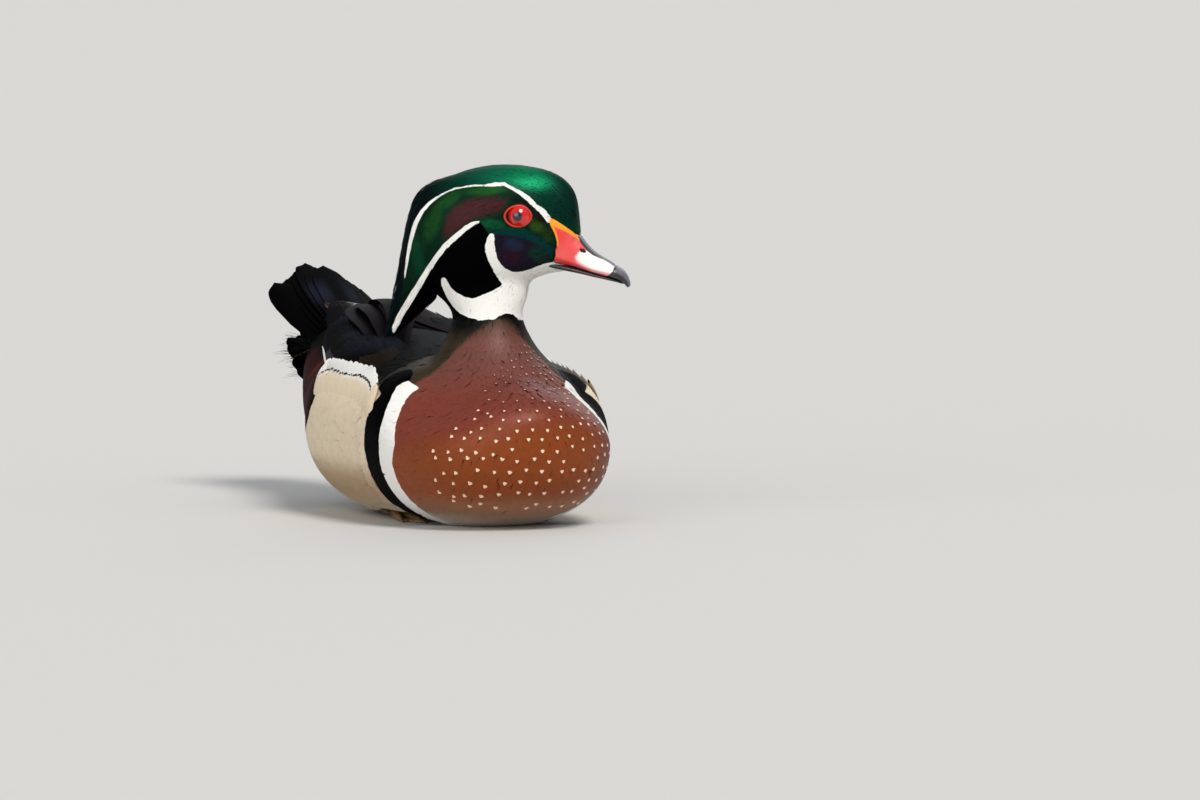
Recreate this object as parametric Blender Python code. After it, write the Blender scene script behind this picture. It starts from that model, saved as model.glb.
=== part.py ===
"""A drake wood duck at life size, resting on its belly as it floats, with its head turned to its left.

Metres, +Z up. +X is forward along the body and +Y is the bird's left. The origin is on the floor, in the
middle of the flat that the belly rests on. Sizes are in millimetres; place() turns them into metres.
Head sizes are in the head's own frame: ahead of the eyes, to the bird's left, and above the eyes.
"""

import math

import bmesh
import bpy
import numpy as np
from mathutils import Matrix, Vector
from mathutils.bvhtree import BVHTree

MM = 0.001
GAP = 0.3  # between nodes that touch

# Torso cross-sections from the breast to the tips of the undertail coverts:
# along the body, half width, top, bottom, height of the widest line, and how square the section is above
# that line (2 is an ellipse, less is a gable).
TORSO = [
    (110.5, 3, 52, 42, 46.5, 2.0),
    (108.5, 15.5, 58.5, 31, 44.5, 1.9),
    (101.5, 31.5, 65.5, 19, 42.5, 1.75),
    (89, 44, 71.5, 9, 41, 1.6),
    (74, 51.5, 76.5, 3, 41, 1.55),
    (61, 56, 80, 0, 41.5, 1.65),
    (50, 59.5, 82.5, -1.6, 43, 2.0),
    (39, 61, 84, -2.4, 44.5, 2.3),
    (10, 62.5, 86, -3.6, 45, 2.2),
    (-25, 63.5, 88, -3.6, 45, 2.15),
    (-60, 60.5, 90, 0, 46, 2.15),
    (-92, 49, 90, 8.5, 49, 2.15),
    (-120, 40.5, 90, 22, 55, 2.15),
    (-145, 31, 89, 38, 63, 2.15),
    (-165, 21, 88, 53, 70, 2.15),
    (-180, 12, 86, 65, 76, 2.15),
    (-187, 3, 82, 76, 79, 2.15),
]
BELLY_POWER = 2.35

# Neck cross-sections from inside the breast to inside the head:
# ahead, to the left, height, half length fore and aft, half width, turn in degrees.
NECK = [
    (46, 0, 52, 48, 46, 0),
    (44, 0, 66, 43, 42, 0),
    (43, 0, 76, 34, 34, 8),
    (42, -0.5, 85, 26, 25.5, 22),
    (41.8, -1, 94, 20.5, 19.8, 40),
    (41.7, -1.6, 104, 17.3, 16, 54),
    (41.2, -2.8, 114, 21.5, 14.5, 62),
    (42, -2, 126, 22, 14, 62),
    (45, 3, 138, 18, 13, 62),
]

# The head: the point between the eyes, and how far the bill is turned from the body's line.
EYES_MIDDLE = (49.5, 13.0, 154.9)
HEAD_TURN = math.radians(62)

# Head cross-sections from the bill's base to the nape: ahead, half width, top, bottom, widest line.
HEAD = [
    (30.3, 2.0, -10.5, -20, -14.5),
    (29.6, 4.4, -3.0, -23, -12),
    (28.8, 6.6, 4.2, -25.5, -10.5),
    (27.2, 8.6, 10.7, -27, -10),
    (22.8, 10.8, 16.5, -28.6, -10),
    (16.5, 13.1, 20.3, -29.7, -10),
    (9.5, 16.1, 22.4, -31.6, -9),
    (-1, 18.9, 23.9, -36.2, -8),
    (-14, 20.2, 23.8, -42.7, -8),
    (-26, 19.6, 21.4, -46, -8),
    (-36.5, 17.2, 17.3, -45, -7),
    (-45, 13.8, 12.6, -37.5, -6),
    (-51.5, 9.0, 6.5, -27, -7),
    (-54.5, 3.0, -3.0, -16, -9),
]
HEAD_POWER = 2.1

# The crest from the crown to its tip: the back edge (ahead, above), the front edge and the half width.
CREST = [
    (-32, 19.2, -36.5, -12, 15.0),
    (-43.5, 16.0, -38.5, -22, 14.5),
    (-52.0, 8.6, -40.2, -31, 13.2),
    (-56.4, -3.8, -41.5, -38, 11.7),
    (-59.0, -17.2, -43.2, -43, 9.8),
    (-61.0, -30.6, -47.8, -46.8, 7.2),
    (-63.8, -45.6, -56.0, -54.0, 4.2),
    (-67.5, -63.4, -66, -62.8, 0.9),
]
CREST_CORE_END = 0.5  # how far along the crest its core reaches
# Tiers of crest feathers: where along the crest they start and end, and the rows across it.
CREST_TIERS = (
    (0.10, 0.52, (0.14, 0.38, 0.62)),
    (0.24, 0.72, (0.26, 0.50, 0.74)),
    (0.38, 0.91, (0.14, 0.38, 0.62, 0.84)),
)
CREST_VANE_WIDTH = 0.13  # half width, as a share of the crest's depth there
CREST_RISE = 1.5
BACK_EDGE_LAG = 0.08  # the row along the crest's back edge starts this much further on
BACK_EDGE_HALF_WIDTH = 2.6

# Upper bill from inside the face to the nail: ahead, half width, top, bottom, and how square it is.
UPPER_BILL = [
    (10, 9.8, -2.5, -23, 4.0),
    (16.8, 11.4, -1.4, -24.2, 4.2),
    (20.5, 11.1, -3.3, -25.0, 3.8),
    (24, 10.4, -5.8, -25.8, 3.2),
    (27.5, 9.7, -8.6, -26.7, 2.9),
    (30.5, 9.2, -11.4, -27.6, 2.7),
    (33.5, 8.7, -15.2, -28.5, 2.5),
    (37, 8.2, -18.7, -29.6, 2.5),
    (41, 7.9, -21.4, -30.6, 2.5),
    (45, 7.7, -23.6, -31.6, 2.5),
    (49, 7.0, -26.5, -32.8, 2.4),
    (51.8, 5.8, -28.3, -34.3, 2.3),
    (53.8, 3.8, -30.9, -36.6, 2.2),
    (55.0, 1.2, -34.0, -36.0, 2.0),
]
BILL_WIDEST = 0.22  # height of the widest line, from the lower edge to the top
LOWER_EDGE_POWER = 2.6
# Lower bill: ahead, half width, depth.
LOWER_BILL = [
    (12, 8.8, 3.4),
    (24, 8.6, 3.2),
    (33, 7.4, 2.5),
    (40, 6.9, 2.1),
    (46, 6.2, 1.9),
    (50, 4.8, 1.5),
    (52, 2.0, 0.8),
]
NOSTRIL = (32.2, 7.7, -18.2)
NOSTRIL_SIZE = (2.1, 1.5, 1.0)

EYE_RADIUS = 6.8
EYE_AHEAD, EYE_SIDE, EYE_UP = 1.1, 14.0, -0.7
LID_RADIUS = (6.3, 5.6)  # fore and aft, up and down
LID_THICKNESS = 0.75
LID_LEVEL = 4.4  # how far outside the eye's middle the ring lies
LID_TILT = 1.55  # how far it leans in at the front, as the face narrows

# Where the bird is parted. Each is a point and the direction of the piece beyond the cut.
NECK_CUT = ((44, 0, 84), (0.35, 0, 0.94))
HEAD_CUT_ABOVE_EYES = -49.5
CREST_CUT = ((-35, 0, -8), (-0.99, 0, 0.13))
TAIL_CUT_X = -122.0
BACK_CLEAR_Z = 92.5  # everything behind the head and above this height is crest

# Left wing's pad, from under the side feathers to its tip: place, half width round the body, half thickness.
WING = [
    (14, 40, 73, 4, 1),
    (-5, 40.5, 76.5, 12, 3),
    (-30, 36.5, 81, 19.5, 5.2),
    (-55, 31, 84, 22, 5.2),
    (-85, 24, 87.5, 20, 5.2),
    (-112, 17, 92.5, 13.5, 5),
    (-138, 13, 96.5, 7.5, 3),
    (-156, 12, 95.5, 2.5, 1),
]
WING_LEAN = (0.50, 0.32)  # how steeply the wing's width runs down the side, at the shoulder and the tip
WING_BEND = 48.0  # radius that the wing's width is wrapped round
# Tiers of feathers on a wing: start and end along it, first and last across it (-1 at the back's middle,
# 1 at the lower edge), how many, how far each starts behind the one before, half width, rise of the tips.
WING_TIERS = {
    "front_scapulars": (0.12, 0.36, -0.60, 0.60, 3, 0.0, 5.5, 1.3),
    "rear_scapulars": (0.26, 0.52, -0.76, 0.76, 4, 0.0, 5.0, 1.3),
    "greater_coverts": (0.42, 0.64, 0.20, 0.72, 2, 0.0, 4.6, 1.3),
    "secondaries": (0.52, 0.74, 0.20, 0.80, 3, 0.03, 3.2, 1.3),
    "tertials": (0.40, 0.74, -0.72, -0.14, 3, 0.07, 6.0, 6.5),
    "primaries": (0.66, 0.88, -0.25, 0.35, 3, 0.06, 3.6, 1.0),
}

# The cocked tail and its feathers, in its own frame: out along it, to the left, above it.
TAIL_ROOT = (-130, 0, 73)
TAIL_COCK = math.radians(27)
TAIL_TILT = math.radians(6)  # its right side is held higher
TAIL_LENGTH = 88
TAIL_TAPER = 0.10  # how much shorter the outermost pair is
TAIL_PAIRS = 7
TAIL_MIDDLE = 2.2  # the middle pair's own offset
TAIL_STEP = 3.3  # from one feather's middle to the next at the tips
TAIL_DROP = 1.2  # each feather lies this far below the one inside it
TAIL_ROLL = math.radians(3)
TAIL_ROOT_SPREAD = 0.4
TAIL_TOP_RISE = 1.2  # the topmost feather over its mate
LOOSE_SPREAD = 4.0  # the outermost on the right stands away from the rest
INNER_LIMIT = 0.35  # how near the middle a feather of one side may come
RECTRIX_HALF_WIDTH = 9.0
RECTRIX_SHAPE = ((0, 0.45), (0.3, 0.7), (0.6, 0.95), (0.85, 1.0), (0.95, 0.84), (1, 0.45))
# Pairs, reach, step from one to the next, half width, height over the tail and drop of each pair.
UPPER_COVERTS = (3, 40, 4.2, 6.0, 3.2, 1.6)
UNDER_COVERTS = (4, 54, 6.4, 6.5, -11.5, 2.6)
COVERT_START = 10
COVERT_TAPER = 2.5

# Side feathers whose white tips lie along the wing's lower edge.
FLANK_COUNT = 6
FLANK_FIRST_X, FLANK_LAST_X = 22, -66
FLANK_ROOT_HEIGHT, FLANK_TIP_HEIGHT = 47, 63.5
FLANK_SWEEP = 20
FLANK_HALF_WIDTH = 7.5
FLANK_RISE = 1.6
FLANK_SAG = 1.0

VANE = 0.6  # thickness of a feather
VANE_SHAPE = ((0, 0.55), (0.35, 0.9), (0.7, 1.0), (0.9, 0.72), (1, 0.2))  # share of length, of width
SUNK = 1.8  # how deep a feather's root is sunk

# Feet tucked under the belly: the heel and the toes' root on the left side.
HEEL = (-54, 27)
TOES_ROOT = (-17, 30)
TOE_RADIUS = 2.0
TOES = ((14, 38, 1.0), (2, 46, 1.0), (-10, 40, 0.95))  # turn out in degrees, length, thickness
# Along a toe: share of its length, height and radius as shares of its own radius.
TOE_ROWS = (
    (0, 1.0, 1.0), (0.3, 1.0, 0.95), (0.5, 1.05, 1.0), (0.8, 0.8, 0.75), (0.93, 0.7, 0.5), (1.12, 0.4, 0.15),
)
HIND_TOE = ((0, 1.9, 1.5), (4, 1.5, 1.2), (8, 1.2, 0.9), (11, 0.8, 0.3))  # out, height, radius
WEB_LOW, WEB_HIGH, WEB_SCALLOP, WEB_ROOT = 0.25, 1.35, 4, 0.15
SHANK = ((0, 0, 2.3, 1.5), (5, 0.4, 2.4, 2.3), (16, 1.2, 2.1, 1.8))  # from the heel, out, height, radius
# The bed that clears each tucked leg and foot: along the body, off the middle, half width.
FOOT_BED = [
    (-60, 27, 3.5), (-50, 27, 5.5), (-30, 29, 5.0), (-14, 30, 7.5), (2, 31, 12.5), (20, 31, 15.0), (37, 31, 13.0),
]
FOOT_BED_HEIGHT = 4.9

# How finely the flesh is made: voxels of the joined body, rounds of smoothing, and triangles of the two
# versions that its nodes are parted from.
SKIN_VOXEL = 2.0
SKIN_SMOOTHING = 8
BODY_TRIANGLES, HEAD_TRIANGLES = 2300, 4000

# Colours as linear RGB, with roughness.
PAINT = {
    "iridescent_green": ((0.012, 0.075, 0.045), 0.35),
    "black_sheen": ((0.010, 0.010, 0.014), 0.40),
    "maroon": ((0.16, 0.035, 0.022), 0.55),
    "buff": ((0.62, 0.50, 0.32), 0.65),
    "bronze_black": ((0.020, 0.017, 0.018), 0.42),
    "bill_red": ((0.62, 0.035, 0.030), 0.30),
    "bill_black": ((0.020, 0.018, 0.020), 0.30),
    "eye_red": ((0.42, 0.010, 0.008), 0.08),
    "foot_yellow": ((0.42, 0.25, 0.06), 0.50),
}


# ---------------------------------------------------------------- small tools
def place(point):
    return Vector(point) * MM


def head_frame():
    """Head sizes to world millimetres."""
    turned = Matrix.Rotation(HEAD_TURN, 4, "Z")
    return Matrix.Translation(Vector(EYES_MIDDLE)) @ turned


def paint(slot):
    """The named material, made the first time that it is asked for."""
    found = bpy.data.materials.get(slot)
    if found:
        return found
    colour, roughness = PAINT[slot]
    material = bpy.data.materials.new(slot)
    material.use_nodes = True
    shader = material.node_tree.nodes["Principled BSDF"]
    shader.inputs["Base Color"].default_value = (*colour, 1.0)
    shader.inputs["Roughness"].default_value = roughness
    material.diffuse_color = (*colour, 1.0)
    return material


def read_row(rows, share):
    """The row at a share of the way along a smooth curve through all the given ones."""
    known = np.array(rows, float)
    ends = np.vstack([2 * known[0] - known[1], known, 2 * known[-1] - known[-2]])
    along = share * (len(known) - 1)
    i = min(max(int(along), 0), len(known) - 2)
    t = along - i
    a, b, c, d = ends[i : i + 4]
    bend = (2 * a - 5 * b + 4 * c - d) * t * t + (3 * b - a - 3 * c + d) * t**3
    return 0.5 * (2 * b + (c - a) * t + bend)


def smooth_rows(rows, count):
    return [read_row(rows, share) for share in np.linspace(0, 1, count)]


def oval(half_width, rise, drop, power, sides, power_below=None):
    """Points round a cross-section as (across, up), with its widest line at up = 0."""
    points = []
    for i in range(sides):
        angle = 2 * math.pi * i / sides
        c, s = math.cos(angle), math.sin(angle)
        here = 2 / (power if s > 0 else power_below or power)
        across = half_width * math.copysign(abs(c) ** here, c)
        up = (rise if s > 0 else drop) * math.copysign(abs(s) ** here, s)
        points.append((across, up))
    return points


def mesh_object(name, points, faces):
    """A closed mesh object from points in millimetres, its faces turned outwards."""
    mesh = bpy.data.meshes.new(name)
    mesh.from_pydata([place(p) for p in points], [], faces)
    work = bmesh.new()
    work.from_mesh(mesh)
    bmesh.ops.recalc_face_normals(work, faces=work.faces[:])
    work.to_mesh(mesh)
    work.free()
    made = bpy.data.objects.new(name, mesh)
    bpy.context.scene.collection.objects.link(made)
    return made


def loft(name, rings):
    """A closed skin over rings of points, each end closed by a fan to its middle."""
    sides = len(rings[0])
    points = [p for ring in rings for p in ring]
    faces = []
    for r in range(len(rings) - 1):
        for i in range(sides):
            j = (i + 1) % sides
            low, high = r * sides, (r + 1) * sides
            faces.append((low + i, low + j, high + j, high + i))
    for ring_start, ring in ((0, rings[0]), ((len(rings) - 1) * sides, rings[-1])):
        points.append(tuple(np.mean(np.array(ring, float), axis=0)))
        faces += [
            (ring_start + i, ring_start + (i + 1) % sides, len(points) - 1)
            for i in range(sides)
        ]
    return mesh_object(name, points, faces)


def path_rings(line, sizes, side_hint, power, sides):
    """Rings square to a line of points; sizes are (half size along side_hint, half size across it)."""
    line = [Vector(p) for p in line]
    rings = []
    for i, (here, (half_side, half_cross)) in enumerate(zip(line, sizes)):
        ahead = (line[min(i + 1, len(line) - 1)] - line[max(i - 1, 0)]).normalized()
        hint = Vector(side_hint[i] if isinstance(side_hint, list) else side_hint)
        side = (hint - ahead * hint.dot(ahead)).normalized()
        cross = ahead.cross(side)
        rings.append(
            [
                here + side * a + cross * b
                for a, b in oval(half_side, half_cross, half_cross, power, sides)
            ]
        )
    return rings


def settle(made):
    """Applies an object's modifiers to its mesh."""
    graph = bpy.context.evaluated_depsgraph_get()
    mesh = bpy.data.meshes.new_from_object(made.evaluated_get(graph))
    made.modifiers.clear()
    made.data = mesh
    return made


def copy_of(made, name):
    twin = bpy.data.objects.new(name, made.data.copy())
    bpy.context.scene.collection.objects.link(twin)
    return twin


def largest_shell(made):
    """Keeps only the closed surface with the most volume."""
    work = bmesh.new()
    work.from_mesh(made.data)
    left, shells = set(work.faces), []
    while left:
        shell, edge = set(), [left.pop()]
        while edge:
            face = edge.pop()
            shell.add(face)
            for side in face.edges:
                for other in side.link_faces:
                    if other in left:
                        left.discard(other)
                        edge.append(other)
        shells.append(shell)

    def volume(shell):
        total = 0.0
        for face in shell:
            corners = [v.co for v in face.verts]
            for b, c in zip(corners[1:], corners[2:]):
                total += corners[0].dot(b.cross(c)) / 6
        return total

    shells.sort(key=volume, reverse=True)
    scraps = [face for shell in shells[1:] for face in shell]
    bmesh.ops.delete(work, geom=scraps, context="FACES")
    work.to_mesh(made.data)
    work.free()
    return made


def combine(made, pieces, operation):
    """Adds or cuts pieces from an object with one Boolean on a collection, and removes them."""
    tools = bpy.data.collections.new("tools")
    bpy.context.scene.collection.children.link(tools)
    for piece in pieces:
        for holder in list(piece.users_collection):
            holder.objects.unlink(piece)
        tools.objects.link(piece)
    join = made.modifiers.new("Join", "BOOLEAN")
    join.operation = operation
    join.operand_type = "COLLECTION"
    join.collection = tools
    join.solver = "EXACT"
    settle(made)
    for piece in pieces:
        bpy.data.objects.remove(piece)
    bpy.data.collections.remove(tools)
    return largest_shell(made)


def fuse(made, pieces):
    return combine(made, pieces, "UNION") if pieces else made


def cut(made, cutters):
    for cutter in cutters:
        combine(made, [cutter], "DIFFERENCE")
    return made


def simplified(made, name, triangles):
    """A copy with about that many triangles, fewest where the form is plainest."""
    twin = copy_of(made, name)
    now = sum(len(face.vertices) - 2 for face in made.data.polygons)
    fewer = twin.modifiers.new("Fewer", "DECIMATE")
    fewer.ratio = min(1.0, triangles / now)
    fewer.use_collapse_triangulate = True
    return settle(twin)


def grown(made, by):
    """A copy swollen by a few tenths, to cut a neighbour clear of it."""
    twin = copy_of(made, made.name + "_grown")
    swell = twin.modifiers.new("Swell", "DISPLACE")
    swell.strength = by * MM
    swell.mid_level = 0
    return settle(twin)


def beyond(made, name, point, direction):
    """The part of an object on the far side of a plane, its cut closed flat."""
    direction = Vector(direction).normalized()
    point = place(point) + direction * GAP / 2 * MM
    twin = copy_of(made, name)
    work = bmesh.new()
    work.from_mesh(twin.data)
    everything = work.verts[:] + work.edges[:] + work.faces[:]
    bmesh.ops.bisect_plane(
        work, geom=everything, plane_co=point, plane_no=direction, clear_inner=True
    )
    rim = [edge for edge in work.edges if edge.is_boundary]
    bmesh.ops.holes_fill(work, edges=rim)
    bmesh.ops.triangulate(work, faces=work.faces[:])
    work.to_mesh(twin.data)
    work.free()
    return largest_shell(twin)


def discard(*unwanted):
    for made in unwanted:
        bpy.data.objects.remove(made)


def finished(made, name, slot):
    """Names a node, gives it its material and shades it."""
    made.name = name
    made.data.materials.clear()
    made.data.materials.append(paint(slot))
    made.data.shade_smooth()
    made.data.set_sharp_from_angle(angle=math.radians(40))
    return made


def ball(name, middle, radii, turn=0.0, segments=16, rings=10):
    """An ellipsoid, its long axis turned about Z."""
    bpy.ops.mesh.primitive_uv_sphere_add(segments=segments, ring_count=rings, radius=1)
    made = bpy.context.object
    made.name = name
    size = Matrix.Diagonal((*[r * MM for r in radii], 1))
    turned = Matrix.Rotation(turn, 4, "Z")
    made.data.transform(Matrix.Translation(place(middle)) @ turned @ size)
    return made


# ---------------------------------------------------------------- flesh
def torso_form():
    rings = []
    for x, half_width, top, bottom, widest, power in smooth_rows(TORSO, 48):
        section = oval(half_width, top - widest, widest - bottom, power, 40, BELLY_POWER)
        rings.append([(x, across, widest + up) for across, up in section])
    return loft("torso_form", rings)


def neck_form():
    rings = []
    for x, y, z, fore_aft, half_width, turn in smooth_rows(NECK, 26):
        turned = Matrix.Rotation(math.radians(turn), 3, "Z")
        section = oval(fore_aft, half_width, half_width, 2, 32)
        middle = Vector((x, y, z))
        rings.append([middle + turned @ Vector((*point, 0)) for point in section])
    return loft("neck_form", rings)


def head_form():
    frame, rings = head_frame(), []
    for ahead, half_width, top, bottom, widest in smooth_rows(HEAD, 34):
        section = oval(half_width, top - widest, widest - bottom, HEAD_POWER, 32)
        rings.append(
            [frame @ Vector((ahead, left, widest + up)) for left, up in section]
        )
    return loft("head_form", rings)


def crest_place(side, along, across, lift=0.0, narrow=1.0):
    """A place on the crest: along it, across it from the back edge, and off its surface."""
    back_ahead, back_up, front_ahead, front_up, half_width = read_row(CREST, along)
    back, front = Vector((back_ahead, 0, back_up)), Vector((front_ahead, 0, front_up))
    bulge = math.sqrt(max(0.0, 1 - (2 * across - 1) ** 2))
    middle = back.lerp(front, across)
    middle.y = side * half_width * narrow * bulge
    out = Vector((0, side * bulge, 0)) + (back - front).normalized() * (1 - 2 * across)
    return head_frame() @ (middle + out * lift)


def crest_core_form():
    """The crest's core, which thins out half way to the tips."""
    rings, sides = [], 20
    for along in np.linspace(0, CREST_CORE_END, 12):
        full = 1 - 0.75 * (along / CREST_CORE_END) ** 2
        ring = []
        for i in range(sides):
            angle = 2 * math.pi * i / sides
            across = 0.5 - 0.5 * math.cos(angle) * full
            side = 1 if i < sides / 2 else -1
            ring.append(crest_place(side, along, across, 0, full))
        rings.append(ring)
    return loft("crest_core_form", rings)


def whole_bird():
    """Torso, neck, head and crest as one smooth body, before it is parted."""
    body = fuse(torso_form(), [neck_form(), head_form(), crest_core_form()])
    body.name = "whole_bird"
    skin = body.modifiers.new("Even", "REMESH")
    skin.mode = "VOXEL"
    skin.voxel_size = SKIN_VOXEL * MM
    smooth = body.modifiers.new("Smooth", "SMOOTH")
    smooth.factor = 0.5
    smooth.iterations = SKIN_SMOOTHING
    settle(body)
    return body


def floor_box(reach=400, depth=40):
    """Everything below the floor."""
    bpy.ops.mesh.primitive_cube_add(size=1)
    made = bpy.context.object
    made.data.transform(Matrix.Diagonal((reach * MM, reach * MM, depth * MM, 1)))
    made.data.transform(Matrix.Translation((0, 0, -depth / 2 * MM)))
    return made


# ---------------------------------------------------------------- head parts
def upper_bill_form(swell=0.0):
    frame, rings = head_frame(), []
    for ahead, half_width, top, bottom, power in smooth_rows(UPPER_BILL, 16):
        widest = bottom + BILL_WIDEST * (top - bottom)
        rise, drop = top - widest + swell, widest - bottom + swell
        section = oval(half_width + swell, rise, drop, power, 18, LOWER_EDGE_POWER)
        rings.append(
            [frame @ Vector((ahead, left, widest + up)) for left, up in section]
        )
    return loft("upper_bill_form", rings)


def mouth_line(ahead):
    """Height of the upper bill's lower edge at a place along it."""
    rows = np.array(UPPER_BILL)
    return float(np.interp(ahead, rows[:, 0], rows[:, 3]))


def lower_bill_form(swell=0.0):
    frame, rings = head_frame(), []
    for ahead, half_width, thickness in smooth_rows(LOWER_BILL, 11):
        top = mouth_line(ahead) - GAP - 0.1 + swell
        half_height = thickness / 2 + swell
        section = oval(half_width + swell, half_height, half_height, LOWER_EDGE_POWER, 14)
        rings.append(
            [frame @ Vector((ahead, left, top - half_height + up)) for left, up in section]
        )
    return loft("lower_bill_form", rings)


def nostril_cutters():
    frame = head_frame()
    cutters = []
    for side in (1, -1):
        middle = frame @ Vector((NOSTRIL[0], side * NOSTRIL[1], NOSTRIL[2]))
        cutters.append(ball("nostril", middle, NOSTRIL_SIZE, HEAD_TURN, 10, 6))
    return cutters


def eye(side, name, swell=0.0):
    middle = head_frame() @ Vector((EYE_AHEAD, side * EYE_SIDE, EYE_UP))
    radius = EYE_RADIUS + swell
    return ball(name, middle, (radius,) * 3, HEAD_TURN, 14, 8)


def lid_ring(side):
    """The swollen red ring of bare skin round an eye."""
    frame, points, faces = head_frame(), [], []
    steps, sides = 20, 6
    for i in range(steps):
        angle = 2 * math.pi * i / steps
        out = Vector((math.cos(angle), 0, math.sin(angle)))
        level = EYE_SIDE + LID_LEVEL - LID_TILT * out.x
        ahead, above = EYE_AHEAD + LID_RADIUS[0] * out.x, EYE_UP + LID_RADIUS[1] * out.z
        middle = Vector((ahead, side * level, above))
        for k in range(sides):
            turn = 2 * math.pi * k / sides
            across = out * LID_THICKNESS * math.cos(turn)
            proud = Vector((0, side * 1.2 * LID_THICKNESS * math.sin(turn), 0))
            points.append(frame @ (middle + across + proud))
            here, there = i * sides, (i + 1) % steps * sides
            faces.append((here + k, here + (k + 1) % sides, there + (k + 1) % sides, there + k))
    return mesh_object("lid_ring", points, faces)


# ---------------------------------------------------------------- feathers
def vane(name, line, outward, half_widths, thickness=VANE):
    """One feather: a thin closed strip along a line, split into triangles alike on both faces."""
    points = []
    last = len(line) - 1
    for i, (here, out, half_width) in enumerate(zip(line, outward, half_widths)):
        ahead = (line[min(i + 1, last)] - line[max(i - 1, 0)]).normalized()
        side = ahead.cross(out).normalized() * half_width
        up = side.cross(ahead).normalized() * thickness / 2
        points += [here + side + up, here - side + up, here - side - up, here + side - up]
    faces = [(0, 1, 2), (0, 2, 3)]
    for i in range(last):
        a, b = 4 * i, 4 * i + 4
        faces += [(a, a + 1, b + 1), (a, b + 1, b)]
        faces += [(a + 3, a + 2, b + 2), (a + 3, b + 2, b + 3)]
        faces += [(a + 1, a + 2, b + 2), (a + 1, b + 2, b + 1)]
        faces += [(a + 3, a, b), (a + 3, b, b + 3)]
    end = 4 * last
    faces += [(end, end + 1, end + 2), (end, end + 2, end + 3)]
    return mesh_object(name, points, faces)


def shaped_vane(name, place_at, half_width, rise):
    """A feather whose line is place_at(share, lift): sunk at its root and clear of what it lies on."""
    line, outward, widths = [], [], []
    for share, width in VANE_SHAPE:
        lift = mixed(-SUNK, rise, share)
        here = place_at(share, lift)
        line.append(here)
        outward.append((place_at(share, lift + 1) - here).normalized())
        widths.append(half_width * width)
    return vane(name, line, outward, widths)


def mixed(low, high, share):
    return low + (high - low) * share


def crest_vanes():
    """The crest, feather by feather: tiers down both sides, and one row along its back edge."""
    made = []
    for tier, (start, stop, rows) in enumerate(CREST_TIERS):
        middle = read_row(CREST, (start + stop) / 2)
        depth = math.hypot(middle[0] - middle[2], middle[1] - middle[3])
        for row, across in enumerate(rows):
            ragged = 0.03 * math.sin(5 * row + 2 * tier)
            for side in (1, -1):

                def place_at(share, lift):
                    along = mixed(start, stop + ragged, share)
                    return crest_place(side, along, across, lift)

                half_width = CREST_VANE_WIDTH * depth
                made.append(shaped_vane("crest_vane", place_at, half_width, CREST_RISE))

        def back_edge(share, lift):
            along = mixed(start, stop, share) + BACK_EDGE_LAG
            return crest_place(1, along, 0.0, lift)

        made.append(shaped_vane("crest_vane", back_edge, BACK_EDGE_HALF_WIDTH, CREST_RISE))
    return made


# ---------------------------------------------------------------- wings
def wing_place(side, along, across, lift=0.0):
    """A place on a wing's outer face: along it, across it from the back to the lower edge, and off it."""
    x, y, z, half_across, half_thick = read_row(WING, along)
    before, after = read_row(WING, along - 0.01), read_row(WING, along + 0.01)
    ahead = Vector((after - before)[:3]).normalized()
    ahead.y *= side
    down = Vector((0, side, -mixed(*WING_LEAN, along)))
    down = (down - ahead * down.dot(ahead)).normalized()
    out = ahead.cross(down) if side > 0 else down.cross(ahead)
    if out.z < 0:
        out = -out
    reach = across * half_across
    face = half_thick * math.sqrt(max(0.0, 1 - across**2)) - reach**2 / (2 * WING_BEND)
    lean = (out + down * (0.75 * across)).normalized()
    return Vector((x, side * y, z)) + down * reach + out * face + lean * lift


def wing_form(side):
    """The folded wing's pad, which straddles the body's surface."""
    rings, sides = [], 16
    for along in np.linspace(0, 1, 20):
        _, _, _, _, half_thick = read_row(WING, along)
        ring = []
        for i in range(sides):
            angle = 2 * math.pi * i / sides
            across = math.cos(angle)
            face = wing_place(side, along, across)
            if math.sin(angle) < 0:
                edge = wing_place(side, along, across, 1) - face
                middle = wing_place(side, along, 0, 1) - wing_place(side, along, 0)
                thick = half_thick * math.sqrt(1 - across**2)
                face = face - (edge + middle).normalized() * 2 * thick
            ring.append(face)
        rings.append(ring)
    return loft("wing_form", rings)


def wing_vanes(side):
    """Overlapping tiers: scapulars over coverts over secondaries, with tertials and primaries behind."""
    made = []
    for start, stop, first, last, count, stagger, half_width, rise in WING_TIERS.values():
        for i in range(count):
            across = mixed(first, last, i / (count - 1))
            ragged = 0.012 * math.cos(3 * i + 20 * start)

            def place_at(share, lift):
                along = mixed(start, stop + ragged, share) + stagger * i
                return wing_place(side, along, across * (1 - 0.12 * share), lift)

            made.append(shaped_vane("wing_vane", place_at, half_width, rise))
    return made


# ---------------------------------------------------------------- tail
def tail_frame():
    """Tail sizes (out along the tail, left, above it) to world millimetres."""
    lean = Matrix.Rotation(TAIL_COCK, 4, "Y") @ Matrix.Rotation(-TAIL_TILT, 4, "X")
    back = Matrix.Diagonal((-1, 1, 1, 1))
    return Matrix.Translation(Vector(TAIL_ROOT)) @ lean @ back


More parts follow.
